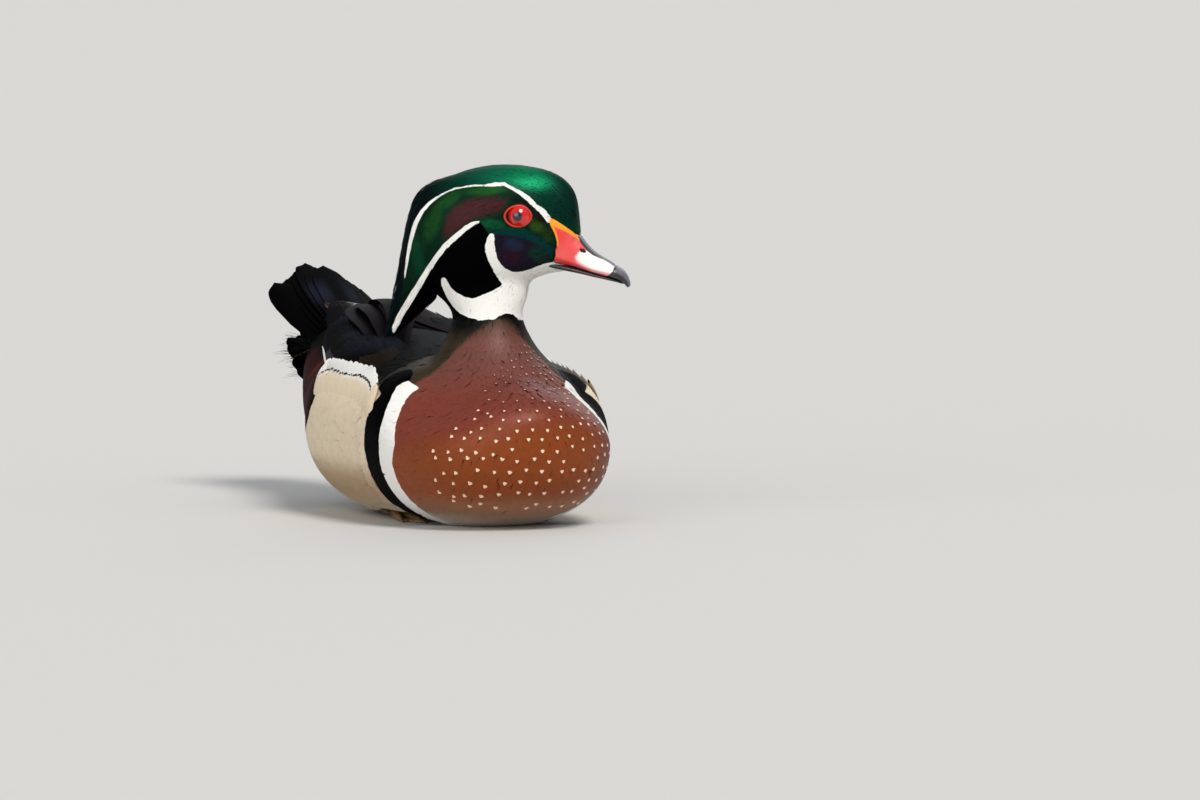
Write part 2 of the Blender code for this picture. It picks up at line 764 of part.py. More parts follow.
def tail_vane(left, level, roll, reach, half_width, spread, inner_limit=None, shape=VANE_SHAPE, start=-4):
    """One straight tail feather, rolled about its length; left and level are those of its tip's middle."""
    frame = tail_frame()
    line, outward, widths = [], [], []
    out = frame.to_3x3() @ Vector((0, math.sin(roll), math.cos(roll)))
    for share, width in shape:
        here = left * mixed(TAIL_ROOT_SPREAD, 1.0, share) + spread * share**2
        half = half_width * width
        low, high = here - half, here + half
        if inner_limit is not None:
            low, high = (max(low, inner_limit), high) if left > 0 else (low, min(high, -inner_limit))
        middle, half = (low + high) / 2, max((high - low) / 2, 0.6)
        tilt = -(middle - here) * math.tan(roll)
        line.append(frame @ Vector((mixed(start, reach, share), middle, level + tilt)))
        outward.append(out)
        widths.append(half)
    return vane("tail_vane", line, outward, widths)


def tail_vanes():
    """Fourteen tail feathers in a shallow arch, the middle pair on top, with coverts over and under."""
    made = []
    for pair in range(TAIL_PAIRS):
        for side in (1, -1):
            left = side * (TAIL_MIDDLE + TAIL_STEP * pair)
            level = -TAIL_DROP * pair
            limit = INNER_LIMIT
            if pair == 0:
                limit = None
                level += TAIL_TOP_RISE if side > 0 else 0.0
            spread = side * LOOSE_SPREAD if (pair, side) == (TAIL_PAIRS - 1, -1) else 0.0
            reach = TAIL_LENGTH * (1 - TAIL_TAPER * (pair / (TAIL_PAIRS - 1)) ** 2)
            roll = side * TAIL_ROLL * pair
            made.append(
                tail_vane(left, level, roll, reach, RECTRIX_HALF_WIDTH, spread, limit, RECTRIX_SHAPE)
            )
    for pairs, reach, step, half_width, height, drop in (UPPER_COVERTS, UNDER_COVERTS):
        for i in range(pairs):
            for side in (1, -1):
                left = side * (0.4 + half_width * 0.8 + step * i)
                level, length = height - drop * i, reach - COVERT_TAPER * i
                roll = side * TAIL_ROLL * (1.5 * i + 0.5)
                made.append(
                    tail_vane(left, level, roll, length, half_width, 0, INNER_LIMIT, start=COVERT_START)
                )
    return made


# ---------------------------------------------------------------- side feathers
def flank_vanes(side, body):
    """Broad feathers swept back and up the side to the wing's lower edge."""
    skin = BVHTree.FromPolygons(
        [v.co / MM for v in body.data.vertices], [f.vertices[:] for f in body.data.polygons]
    )
    made = []
    for i in range(FLANK_COUNT):
        first = mixed(FLANK_FIRST_X, FLANK_LAST_X, i / (FLANK_COUNT - 1))
        sag = FLANK_SAG * math.sin(math.pi * i / (FLANK_COUNT - 1))

        def place_at(share, lift):
            x = first - FLANK_SWEEP * share
            z = mixed(FLANK_ROOT_HEIGHT, FLANK_TIP_HEIGHT + sag, share)
            near = Vector((x, side * 70, z + 8))
            spot, normal, _, _ = skin.ray_cast(near, Vector((0, -side, -0.12)))
            return spot + normal * lift

        made.append(shaped_vane("flank_vane", place_at, FLANK_HALF_WIDTH, FLANK_RISE))
    return made


# ---------------------------------------------------------------- feet
def foot_bed_form(side):
    """A bed under the belly that clears the tucked leg and foot, its upper edges broken."""
    bottom, top, ease = -3.0, FOOT_BED_HEIGHT, 0.8
    rings = []
    for x, y, half in smooth_rows(FOOT_BED, 18):
        corners = [(half, bottom), (half, top - ease), (half - 2 * ease, top)]
        outline = [(-out, height) for out, height in corners] + [*reversed(corners)]
        rings.append([(x, side * y + out, height) for out, height in outline])
    return loft("foot_bed", rings)


def limb(name, line, radii, sides=8):
    """A round tapering piece along a line."""
    return loft(name, path_rings(line, [(r, r) for r in radii], (0, 0, 1), 2, sides))


def foot_form(side):
    """Three toes with their web, the hind toe and the claws, flat on the floor."""
    root = Vector((TOES_ROOT[0], side * TOES_ROOT[1], TOE_RADIUS))
    tips, pieces = [], []
    for turn_out, length, thickness in TOES:
        turn = side * math.radians(turn_out)
        ahead = Vector((math.cos(turn), math.sin(turn), 0))
        tips.append(root + ahead * length)
        radius = TOE_RADIUS * thickness
        line = [root + ahead * (length * share) for share, _, _ in TOE_ROWS]
        for point, (_, height, _) in zip(line, TOE_ROWS):
            point.z = radius * height
        pieces.append(limb("toe", line, [radius * thick for _, _, thick in TOE_ROWS]))
    outer, middle, inner = tips
    scallop = Vector((WEB_SCALLOP, 0, 0))
    web_line = [root.lerp(outer, WEB_ROOT), outer, (outer + middle) / 2 - scallop, middle]
    web_line += [(middle + inner) / 2 - scallop, inner, root.lerp(inner, WEB_ROOT)]
    low = [(p.x, p.y, WEB_LOW) for p in web_line]
    high = [(p.x, p.y, WEB_HIGH) for p in web_line]
    count = len(low)
    faces = [tuple(range(count)), tuple(range(count, 2 * count))]
    faces += [(i, (i + 1) % count, count + (i + 1) % count, count + i) for i in range(count)]
    pieces.append(mesh_object("web", low + high, faces))
    back = Vector((-1, -side * 0.75, 0)).normalized()
    hind = [root + Vector((-3, 0, 0)) + back * out for out, _, _ in HIND_TOE]
    for point, (_, height, _) in zip(hind, HIND_TOE):
        point.z = height
    pieces.append(limb("hind_toe", hind, [radius for _, _, radius in HIND_TOE], 6))
    return fuse(pieces[0], pieces[1:])


def leg_form(side):
    """The shank from the heel to the toes, lying on the floor."""
    stop = TOES_ROOT[0] - TOE_RADIUS - GAP
    line = [(HEEL[0] + ahead, side * (HEEL[1] + out), height) for ahead, out, height, _ in SHANK]
    line += [(stop - 3, side * (TOES_ROOT[1] - 0.3), 2.1), (stop, side * TOES_ROOT[1], 2.1)]
    return limb("leg", line, [*(radius for *_, radius in SHANK), 1.9, 1.6], 10)


# ---------------------------------------------------------------- the bird
def build():
    for old in list(bpy.data.objects):
        bpy.data.objects.remove(old)
    body = whole_bird()
    coarse = simplified(body, "coarse", BODY_TRIANGLES)
    fine = simplified(body, "fine", HEAD_TRIANGLES)
    discard(body)

    frame = head_frame()
    neck_at, neck_out = NECK_CUT
    head_at = frame @ Vector((0, 0, HEAD_CUT_ABOVE_EYES))
    up, down = Vector((0, 0, 1)), Vector((0, 0, -1))
    crest_at = frame @ Vector(CREST_CUT[0])
    crest_out = frame.to_3x3() @ Vector(CREST_CUT[1])
    tail_at = (TAIL_CUT_X, 0, 0)
    forward, backward = Vector((1, 0, 0)), Vector((-1, 0, 0))

    below_neck = beyond(coarse, "below_neck", neck_at, -Vector(neck_out))
    torso = beyond(below_neck, "torso", tail_at, forward)
    rump = beyond(below_neck, "rump", tail_at, backward)
    above_breast = beyond(coarse, "above_breast", neck_at, neck_out)
    neck = beyond(above_breast, "neck", head_at, down)
    upper = beyond(fine, "upper", head_at, up)
    above_back = beyond(fine, "above_back", (0, 0, BACK_CLEAR_Z), up)
    crest = beyond(above_back, "crest", crest_at, crest_out)
    head = beyond(upper, "head", crest_at, -crest_out)
    discard(coarse, fine, below_neck, above_breast, upper, above_back)

    cut(torso, [floor_box(), foot_bed_form(1), foot_bed_form(-1)])

    fuse(head, [lid_ring(1), lid_ring(-1)])
    cut(head, [eye(1, "socket", GAP), eye(-1, "socket", GAP)])
    cut(head, [upper_bill_form(GAP), lower_bill_form(GAP)])
    upper_bill = cut(upper_bill_form(), nostril_cutters())

    fuse(crest, crest_vanes())

    wings = {}
    for side, name in ((1, "wing_left"), (-1, "wing_right")):
        wing = fuse(wing_form(side), wing_vanes(side))
        clear = GAP + 0.1
        wings[name] = cut(wing, [grown(torso, clear), grown(rump, clear), grown(neck, clear)])

    fuse(torso, flank_vanes(1, torso) + flank_vanes(-1, torso))
    tail = fuse(rump, tail_vanes())

    finished(torso, "torso", "buff")
    finished(neck, "neck", "maroon")
    finished(head, "head", "iridescent_green")
    finished(crest, "crest", "black_sheen")
    finished(tail, "tail", "bronze_black")
    finished(upper_bill, "bill_upper", "bill_red")
    finished(lower_bill_form(), "bill_lower", "bill_black")
    for name, wing in wings.items():
        finished(wing, name, "bronze_black")
    for side, word in ((1, "left"), (-1, "right")):
        finished(eye(side, "eye"), "eye_" + word, "eye_red")
        finished(foot_form(side), "foot_" + word, "foot_yellow")
        finished(leg_form(side), "leg_" + word, "foot_yellow")


build()
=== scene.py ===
"""Looks of the drake wood duck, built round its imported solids.

Sizes here are in millimetres and turn into metres where a mesh is made. Head sizes are in the head's own
frame: ahead of the eyes, to the bird's left, and above the eyes.
"""

import math

import bpy
import numpy as np
from mathutils import Matrix, Vector
from mathutils.bvhtree import BVHTree
from mathutils.kdtree import KDTree


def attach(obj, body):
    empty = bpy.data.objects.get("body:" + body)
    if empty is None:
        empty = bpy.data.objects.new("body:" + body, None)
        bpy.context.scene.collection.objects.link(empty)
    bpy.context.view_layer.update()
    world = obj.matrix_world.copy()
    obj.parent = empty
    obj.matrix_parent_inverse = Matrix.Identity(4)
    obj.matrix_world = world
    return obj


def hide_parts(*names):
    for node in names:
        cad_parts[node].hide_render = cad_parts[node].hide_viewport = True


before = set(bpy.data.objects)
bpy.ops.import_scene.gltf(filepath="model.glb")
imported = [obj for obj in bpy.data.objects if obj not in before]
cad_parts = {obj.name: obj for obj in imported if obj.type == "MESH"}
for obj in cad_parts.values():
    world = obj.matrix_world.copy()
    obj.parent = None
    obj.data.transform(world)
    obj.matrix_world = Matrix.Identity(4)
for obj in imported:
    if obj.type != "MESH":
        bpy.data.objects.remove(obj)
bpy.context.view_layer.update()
bpy.ops.object.select_all(action="DESELECT")

MM = 0.001

# ---------------------------------------------------------------- forms shared with the solids
# Cross-sections from breast to tail: ahead, half width, top, bottom, height of the widest line, upper power.
TORSO = [
    (110.5, 3, 52, 42, 46.5, 2.0),
    (108.5, 15.5, 58.5, 31, 44.5, 1.9),
    (101.5, 31.5, 65.5, 19, 42.5, 1.75),
    (89, 44, 71.5, 9, 41, 1.6),
    (74, 51.5, 76.5, 3, 41, 1.55),
    (61, 56, 80, 0, 41.5, 1.65),
    (50, 59.5, 82.5, -1.6, 43, 2.0),
    (39, 61, 84, -2.4, 44.5, 2.3),
    (10, 62.5, 86, -3.6, 45, 2.2),
    (-25, 63.5, 88, -3.6, 45, 2.15),
    (-60, 60.5, 90, 0, 46, 2.15),
    (-92, 49, 90, 8.5, 49, 2.15),
    (-120, 40.5, 90, 22, 55, 2.15),
    (-145, 31, 89, 38, 63, 2.15),
    (-165, 21, 88, 53, 70, 2.15),
    (-180, 12, 86, 65, 76, 2.15),
    (-187, 3, 82, 76, 79, 2.15),
]
BELLY_POWER = 2.35
# Level sections up the neck: ahead, left, height, half length, half width, turn in degrees.
NECK = [
    (46, 0, 52, 48, 46, 0),
    (44, 0, 66, 43, 42, 0),
    (43, 0, 76, 34, 34, 8),
    (42, -0.5, 85, 26, 25.5, 22),
    (41.8, -1, 94, 20.5, 19.8, 40),
    (41.7, -1.6, 104, 17.3, 16, 54),
    (41.2, -2.8, 114, 21.5, 14.5, 62),
    (42, -2, 126, 22, 14, 62),
    (45, 3, 138, 18, 13, 62),
]
EYES_MIDDLE = (49.5, 13.0, 154.9)
HEAD_TURN = math.radians(62)
# Cross-sections of the head: ahead, half width, top, bottom, height of the widest line.
HEAD = [
    (30.3, 2.0, -10.5, -20, -14.5),
    (29.6, 4.4, -3.0, -23, -12),
    (28.8, 6.6, 4.2, -25.5, -10.5),
    (27.2, 8.6, 10.7, -27, -10),
    (22.8, 10.8, 16.5, -28.6, -10),
    (16.5, 13.1, 20.3, -29.7, -10),
    (9.5, 16.1, 22.4, -31.6, -9),
    (-1, 18.9, 23.9, -36.2, -8),
    (-14, 20.2, 23.8, -42.7, -8),
    (-26, 19.6, 21.4, -46, -8),
    (-36.5, 17.2, 17.3, -45, -7),
    (-45, 13.8, 12.6, -37.5, -6),
    (-51.5, 9.0, 6.5, -27, -7),
    (-54.5, 3.0, -3.0, -16, -9),
]
HEAD_POWER = 2.1
# Back and front edge of the crest, each ahead and up, and its half thickness.
CREST = [
    (-32, 19.2, -36.5, -12, 15.0),
    (-43.5, 16.0, -38.5, -22, 14.5),
    (-52.0, 8.6, -40.2, -31, 13.2),
    (-56.4, -3.8, -41.5, -38, 11.7),
    (-59.0, -17.2, -43.2, -43, 9.8),
    (-61.0, -30.6, -47.8, -46.8, 7.2),
    (-63.8, -45.6, -56.0, -54.0, 4.2),
    (-67.5, -63.4, -66, -62.8, 0.9),
]
CREST_CORE_END = 0.5  # how far down the crest its solid core goes
# Cross-sections of the bill: ahead, half width, top, bottom, power.
UPPER_BILL = [
    (10, 9.8, -2.5, -23, 4.0),
    (16.8, 11.4, -1.4, -24.2, 4.2),
    (20.5, 11.1, -3.3, -25.0, 3.8),
    (24, 10.4, -5.8, -25.8, 3.2),
    (27.5, 9.7, -8.6, -26.7, 2.9),
    (30.5, 9.2, -11.4, -27.6, 2.7),
    (33.5, 8.7, -15.2, -28.5, 2.5),
    (37, 8.2, -18.7, -29.6, 2.5),
    (41, 7.9, -21.4, -30.6, 2.5),
    (45, 7.7, -23.6, -31.6, 2.5),
    (49, 7.0, -26.5, -32.8, 2.4),
    (51.8, 5.8, -28.3, -34.3, 2.3),
    (53.8, 3.8, -30.9, -36.6, 2.2),
    (55.0, 1.2, -34.0, -36.0, 2.0),
]
# Ahead, half width and thickness.
LOWER_BILL = [
    (12, 8.8, 3.4),
    (24, 8.6, 3.2),
    (33, 7.4, 2.5),
    (40, 6.9, 2.1),
    (46, 6.2, 1.9),
    (50, 4.8, 1.5),
    (52, 2.0, 0.8),
]
NOSTRIL, NOSTRIL_TURN = (32.2, -18.2), math.radians(-28)
EYE_AHEAD, EYE_SIDE, EYE_UP = 1.1, 14.0, -0.7
EYE_RADIUS = 6.8
LID_RADIUS = (6.15, 5.15)
LID_LEVEL, LID_TILT = 4.2, 1.55
# Middle line of a wing: ahead, out to its side, up, then half width and half thickness.
WING = [
    (14, 40, 73, 4, 1),
    (-5, 40.5, 76.5, 12, 3),
    (-30, 36.5, 81, 19.5, 5.2),
    (-55, 31, 84, 22, 5.2),
    (-85, 24, 87.5, 20, 5.2),
    (-112, 17, 92.5, 13.5, 5),
    (-138, 13, 96.5, 7.5, 3),
    (-156, 12, 95.5, 2.5, 1),
]
WING_LEAN = (0.50, 0.32)
WING_BEND = 48.0
TAIL_ROOT = (-130, 0, 73)
TAIL_COCK = math.radians(27)
TAIL_TILT = math.radians(6)
TAIL_LENGTH = 88
TAIL_PAIRS = 7
TAIL_STEP = 3.3
TAIL_DROP = 1.2
TAIL_ROLL = math.radians(3)
TAIL_ROOT_SPREAD = 0.4

# Colours, linear RGB.
BLACK = (0.0008, 0.0008, 0.001)
MAROON = (0.195, 0.037, 0.022)
NECK_PURPLE = (0.160, 0.054, 0.042)
NECK_BROWN = (0.060, 0.024, 0.011)
CHESTNUT = (0.250, 0.050, 0.006)
BUFF = (0.80, 0.67, 0.49)
SOOT = (0.0009, 0.0008, 0.0010)
OLIVE = (0.058, 0.040, 0.022)
RUMP_RED = (0.036, 0.0016, 0.0012)

NO_MARK = -5.0  # depth inside a black or white mark that leaves it out


# ---------------------------------------------------------------- sums
def rows_at(rows, shares):
    """Rows at shares of the way along a smooth curve through the given ones."""
    known = np.array(rows, float)
    ends = np.vstack([2 * known[0] - known[1], known, 2 * known[-1] - known[-2]])
    along = np.asarray(shares, float) * (len(known) - 1)
    i = np.clip(along.astype(int), 0, len(known) - 2)
    t = (along - i)[..., None]
    a, b, c, d = (ends[i + k] for k in range(4))
    return 0.5 * (2 * b + (c - a) * t + (2 * a - 5 * b + 4 * c - d) * t * t + (3 * b - a - 3 * c + d) * t**3)


def mixed(low, high, share):
    return low + (high - low) * share


def smooth_step(low, high, values):
    t = np.clip((values - low) / (high - low), 0, 1)
    return t * t * (3 - 2 * t)


def unit(vectors):
    return vectors / np.maximum(np.linalg.norm(vectors, axis=-1, keepdims=True), 1e-9)


def dot(a, b):
    return np.sum(a * b, axis=-1, keepdims=True)


def oval(half_width, rise, drop, power, sides, power_below=None):
    """Points round a cross-section, (across, up), its widest line at up = 0."""
    angle = np.arange(sides) * 2 * math.pi / sides
    c, s = np.cos(angle), np.sin(angle)
    here = 2 / np.where(s > 0, power, power_below or power)
    across = half_width * np.sign(c) * np.abs(c) ** here
    up = np.where(s > 0, rise, drop) * np.sign(s) * np.abs(s) ** here
    return np.stack([across, up], axis=-1)


turned = np.array(Matrix.Rotation(HEAD_TURN, 3, "Z"))


def from_head(points):
    return np.asarray(points, float) @ turned.T + np.array(EYES_MIDDLE)


def to_head(points):
    return (np.asarray(points, float) - np.array(EYES_MIDDLE)) @ turned


def seen_from_side(points):
    """Places on the head as a level look from the side finds them, ahead and up; near places look higher."""
    f, left, u = to_head(points).T
    inward = 18 - np.abs(left)
    return np.stack([f - 0.6 + 0.122 * inward, u * 1.006 + 0.068 * inward], -1)


def patch(flat, middle, reach, turn=0.0):
    """A soft round patch: 1 in its middle, 0 from its edge on."""
    c, s = math.cos(math.radians(turn)), math.sin(math.radians(turn))
    x, y = flat[:, 0] - middle[0], flat[:, 1] - middle[1]
    return smooth_step(1.0, 0.0, np.hypot((x * c + y * s) / reach[0], (y * c - x * s) / reach[1]))


def line_band(points, line):
    """How far inside a band round a line each point is; the line's rows are (x, y, half width)."""
    line = np.array(line, float)
    best = np.full(len(points), -1e3)
    for a, b in zip(line[:-1], line[1:]):
        run = b[:2] - a[:2]
        t = np.clip(((points - a[:2]) @ run) / max(run @ run, 1e-9), 0, 1)
        gap = np.linalg.norm(points - a[:2] - t[:, None] * run, axis=1)
        best = np.maximum(best, mixed(a[2], b[2], t) - gap)
    return best


def inside_area(points, corners):
    """Distance in from the edge of a closed outline, negative outside it."""
    corners = np.array(corners, float)
    x, y = points[:, 0], points[:, 1]
    inside = np.zeros(len(points), bool)
    gap = np.full(len(points), 1e3)
    for a, b in zip(corners, np.roll(corners, -1, axis=0)):
        with np.errstate(divide="ignore", invalid="ignore"):
            meets = (b[0] - a[0]) * (y - a[1]) / (b[1] - a[1] + 1e-12) + a[0]
            crossing = ((a[1] > y) != (b[1] > y)) & (x < meets)
        inside ^= crossing
        run = b - a
        t = np.clip(((points - a) @ run) / max(run @ run, 1e-9), 0, 1)
        gap = np.minimum(gap, np.linalg.norm(points - a - t[:, None] * run, axis=1))
    return np.where(inside, gap, -gap)


def lay(tint, colour, amount):
    """Lays a colour over the tints, where amount is 1."""
    amount = np.clip(amount, 0, 1)[:, None]
    return tint * (1 - amount) + np.array(colour) * amount


# ---------------------------------------------------------------- meshes
def mesh_of(name, points, face_sets, smooth=True):
    """An object from points in millimetres and arrays of faces, each array with one number of corners."""
    mesh = bpy.data.meshes.new(name)
    face_sets = [np.asarray(faces, np.int32) for faces in face_sets if len(faces)]
    corners = np.concatenate([faces.ravel() for faces in face_sets])
    totals = np.concatenate([np.full(len(faces), faces.shape[1], np.int32) for faces in face_sets])
    starts = np.concatenate([[0], np.cumsum(totals)[:-1]]).astype(np.int32)
    mesh.vertices.add(len(points))
    mesh.vertices.foreach_set("co", (np.asarray(points, float) * MM).astype(np.float32).ravel())
    mesh.loops.add(len(corners))
    mesh.loops.foreach_set("vertex_index", corners)
    mesh.polygons.add(len(totals))
    mesh.polygons.foreach_set("loop_start", starts)
    mesh.polygons.foreach_set("loop_total", totals)
    mesh.update(calc_edges=True)
    mesh.validate()
    if smooth:
        mesh.shade_smooth()
    made = bpy.data.objects.new(name, mesh)
    bpy.context.scene.collection.objects.link(made)
    return made


def loft_arrays(rings):
    """Points and faces of a closed skin over rings, each end closed by a fan."""
    rings = np.asarray(rings, float)
    count, sides = rings.shape[:2]
    i = np.arange(sides)
    j = (i + 1) % sides
    band = np.stack([i, j, sides + j, sides + i], -1)
    quads = np.concatenate([r * sides + band for r in range(count - 1)])
    points = np.concatenate([rings.reshape(-1, 3), rings[:1].mean(1), rings[-1:].mean(1)])
    last = (count - 1) * sides
    fans = np.concatenate([
        np.stack([j, i, np.full(sides, count * sides)], -1),
        np.stack([last + i, last + j, np.full(sides, count * sides + 1)], -1),
    ])
    return points, quads, fans


def choose(made):
    bpy.ops.object.select_all(action="DESELECT")
    made.select_set(True)
    bpy.context.view_layer.objects.active = made


def face_outwards(made):
    choose(made)
    bpy.ops.object.mode_set(mode="EDIT")
    bpy.ops.mesh.select_all(action="SELECT")
    bpy.ops.mesh.normals_make_consistent(inside=False)
    bpy.ops.object.mode_set(mode="OBJECT")


def apply_all(made):
    choose(made)
    for modifier in list(made.modifiers):
        bpy.ops.object.modifier_apply(modifier=modifier.name)


def modifier(made, kind, **settings):
    added = made.modifiers.new(kind.title(), kind)
    for name, value in settings.items():
        setattr(added, name, value)
    return added


def loft(name, rings):
    points, quads, fans = loft_arrays(rings)
    made = mesh_of(name, points, [quads, fans])
    face_outwards(made)
    return made


def points_of(made):
    flat = np.empty(len(made.data.vertices) * 3, np.float32)
    made.data.vertices.foreach_get("co", flat)
    return flat.reshape(-1, 3).astype(float) / MM


def normals_of(made):
    flat = np.empty(len(made.data.vertices) * 3, np.float32)
    made.data.vertices.foreach_get("normal", flat)
    return flat.reshape(-1, 3).astype(float)


def set_points(made, points):
    made.data.vertices.foreach_set("co", (points * MM).astype(np.float32).ravel())
    made.data.update()


def settle(made, material, slot, *nodes):
    """Gives a finished piece its material, and says what it rides on and replaces; its slot is not used."""
    made.data.materials.append(material)
    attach(made, "root")
    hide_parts(*nodes)


def all_one(points, colour):
    return np.tile(np.array(colour, float), (len(points), 1))


def set_values(made, name, values):
    """Writes a number or a colour at each vertex."""
    values = np.asarray(values, np.float32)
    if values.ndim == 2:
        layer = made.data.attributes.new(name, "FLOAT_COLOR", "POINT")
        full = np.ones((len(values), 4), np.float32)
        full[:, :3] = values
        layer.data.foreach_set("color", full.ravel())
    else:
        layer = made.data.attributes.new(name, "FLOAT", "POINT")
        layer.data.foreach_set("value", values)


def mark_smooth(made, tint, shine, white=NO_MARK, black=NO_MARK):
    """Gives a piece without vanes the marks that its plumage reads."""
    count = len(made.data.vertices)
    set_values(made, "tint", np.zeros((count, 3)) + tint)
    for name, value in (("shine", shine), ("white", white), ("black", black), ("seed", 0.5)):
        set_values(made, name, np.zeros(count) + value)


# ---------------------------------------------------------------- shader sums
class Value:
    """A shader socket that Python's arithmetic works on."""

    def __init__(self, finish, socket):
        self.finish, self.socket = finish, socket

    def _sum(self, operation, *others):
        return self.finish.node("ShaderNodeMath", {"operation": operation}, self, *others)

    def __add__(self, other):
        return self._sum("ADD", other)

    __radd__ = __add__

    def __sub__(self, other):
        return self._sum("SUBTRACT", other)

    def __rsub__(self, other):
        return self.finish.node("ShaderNodeMath", {"operation": "SUBTRACT"}, other, self)

    def __mul__(self, other):
        return self._sum("MULTIPLY", other)

    __rmul__ = __mul__

    def __abs__(self):
        return self._sum("ABSOLUTE")

    def sine(self):
        return self._sum("SINE")

    def most(self, other):
        return self._sum("MAXIMUM", other)

    def between(self, low, high):
        """0 at low, 1 at high, smooth between."""
        settings = {"interpolation_type": "SMOOTHSTEP"}
        return self.finish.node("ShaderNodeMapRange", settings, self, low, high, 0.0, 1.0)


class Finish:
    """One material, with its Principled shader and the nodes that feed it."""

    def __init__(self, name, **constants):
        self.material = bpy.data.materials.new(name)
        self.material.use_nodes = True
        self.tree = self.material.node_tree
        self.shader = self.tree.nodes["Principled BSDF"]
        for socket, value in constants.items():
            self.shader.inputs[socket.replace("_", " ")].default_value = value

    def node(self, kind, settings=None, *values, out=0, **named):
        """Adds a node: its type, its settings, then the values or links of its sockets."""
        made = self.tree.nodes.new(kind)
        for name, value in (settings or {}).items():
            if name == "stops":
                while len(made.color_ramp.elements) < len(value):
                    made.color_ramp.elements.new(0.5)
                for stop, (place, colour) in zip(made.color_ramp.elements, value):
                    stop.position = place
                    stop.color = (*colour, 1.0)
            else:
                setattr(made, name, value)
        for key, value in [*enumerate(values), *named.items()]:
            self.feed(made.inputs[key.replace("_", " ") if isinstance(key, str) else key], value)
        return Value(self, made.outputs[out])

    def feed(self, socket, value):
        if isinstance(value, Value):
            self.tree.links.new(value.socket, socket)
        elif value is not None:
            if hasattr(value, "__len__") and len(value) == 3 and socket.type == "RGBA":
                value = (*value, 1.0)
            socket.default_value = value

    def set(self, **named):
        for name, value in named.items():
            self.feed(self.shader.inputs[name.replace("_", " ")], value)

    def attribute(self, name, out="Fac"):
        return self.node("ShaderNodeAttribute", {"attribute_name": name}, out=out)

    def blend(self, amount, low, high, way="MIX"):
        """Mixes two colours."""
        made = self.tree.nodes.new("ShaderNodeMix")
        made.data_type, made.blend_type = "RGBA", way
        for key, value in ((0, amount), (6, low), (7, high)):
            self.feed(made.inputs[key], value)
        return Value(self, made.outputs[2])

    def spots(self, place, scale, detail=2.0, out=0, kind="ShaderNodeTexNoise", **named):
        return self.node(kind, None, Vector=place, Scale=scale, out=out, **({"Detail": detail} | named))

    def bump(self, height, strength, distance):
        return self.node("ShaderNodeBump", None, Height=height, Strength=strength, Distance=distance)

    def place(self):
        """Object coordinates."""
        return self.node("ShaderNodeTexCoord", out="Object")

    def along(self, name):
        """A piece's own map, as (across, along)."""
        uv = self.node("ShaderNodeUVMap", {"uv_map": name})
        split = self.node("ShaderNodeSeparateXYZ", None, uv)
        return split, Value(self, split.socket.node.outputs[1]), uv


def plumage(
    name, vaned=True, barbs=14.0, lean=3.0, relief=0.10, gloss=0.42, specular=0.2, bars=None, fade=0.16,
    pale=(0.90, 0.885, 0.85), ribbed=0.07, grain=0.18,
):
    """Feathers tinted by their own attributes, with crisp black and white marks and fine barbs.

    barbs and lean are how many barbs a vane shows and how much they slant, ribbed and relief their tone and
    height, bars the number of fine wavy bars, fade and grain how much the tone differs between feathers and
    within one, and pale the colour of the white marks.
    """
    finish = Finish(name, Specular_IOR_Level=specular, Specular_Tint=(0.45, 0.45, 0.45, 1.0))
    tint = finish.attribute("tint", "Color")
    seed = finish.attribute("seed")
    white, black = finish.attribute("white"), finish.attribute("black")
    shine = finish.attribute("shine")
    place = finish.place()
    fine = finish.spots(place, 900.0, 3.0)
    tone = (0.95 - 0.5 * fade - 0.5 * grain) + fade * seed + grain * fine
    rough = gloss + 0.12 * fine
    if vaned:
        across, down, _ = finish.along("Vane")
        off = abs(across - 0.5)
        ribs = ((down * barbs + off * lean) * 6.2832).sine()
        tone = tone * (1 + ribbed * ribs) * (0.94 + 0.10 * down.between(0.2, 0.95))
        height = ribs * 0.5 + fine
    else:
        tone = tone * 0.92
        height = fine
    grey = finish.node("ShaderNodeCombineColor", None, tone, tone, tone)
    colour = finish.blend(1.0, tint, grey, "MULTIPLY")
    if bars:
        depth = finish.attribute("bars")
        wander = finish.spots(place, 260.0, 3.0)
        wave = ((down * bars + wander * 2.6 - off * 1.5) * 6.2832).sine()
        lines = wave.between(0.35, 0.95) * depth
        colour = finish.blend(lines, colour, (0.16, 0.10, 0.05))
    colour = finish.blend(black.between(-0.16, 0.16), colour, BLACK)
    dull = tuple(0.89 * value for value in pale)
    colour = finish.blend(white.between(-0.16, 0.16), colour, finish.blend(fine, dull, pale))
    marked = white.between(-0.2, 0.2)
    finish.set(
        Base_Color=colour,
        Roughness=rough + 0.2 * marked,
        Metallic=(shine * (1 - marked)).most(0.9 * black.between(-0.16, 0.16) * (1 - marked)),
        Normal=finish.bump(height, relief, 0.0002),
    )
    return finish.material


# ---------------------------------------------------------------- the skin
def torso_rings(count=80, sides=64):
    rings = []
    for x, half_width, top, bottom, widest, power in rows_at(TORSO, np.linspace(0, 1, count)):
        section = oval(half_width, top - widest, widest - bottom, power, sides, BELLY_POWER)
        rings.append(np.stack([np.full(sides, x), section[:, 0], widest + section[:, 1]], -1))
    return rings


def neck_rings(count=44, sides=48):
    rings = []
    for x, y, z, fore_aft, half_width, turn in rows_at(NECK, np.linspace(0, 1, count)):
        section = oval(fore_aft, half_width, half_width, 2, sides)
        c, s = math.cos(math.radians(turn)), math.sin(math.radians(turn))
        a, b = section.T
        rings.append(np.stack([x + c * a - s * b, y + s * a + c * b, np.full(sides, z)], -1))
    return rings


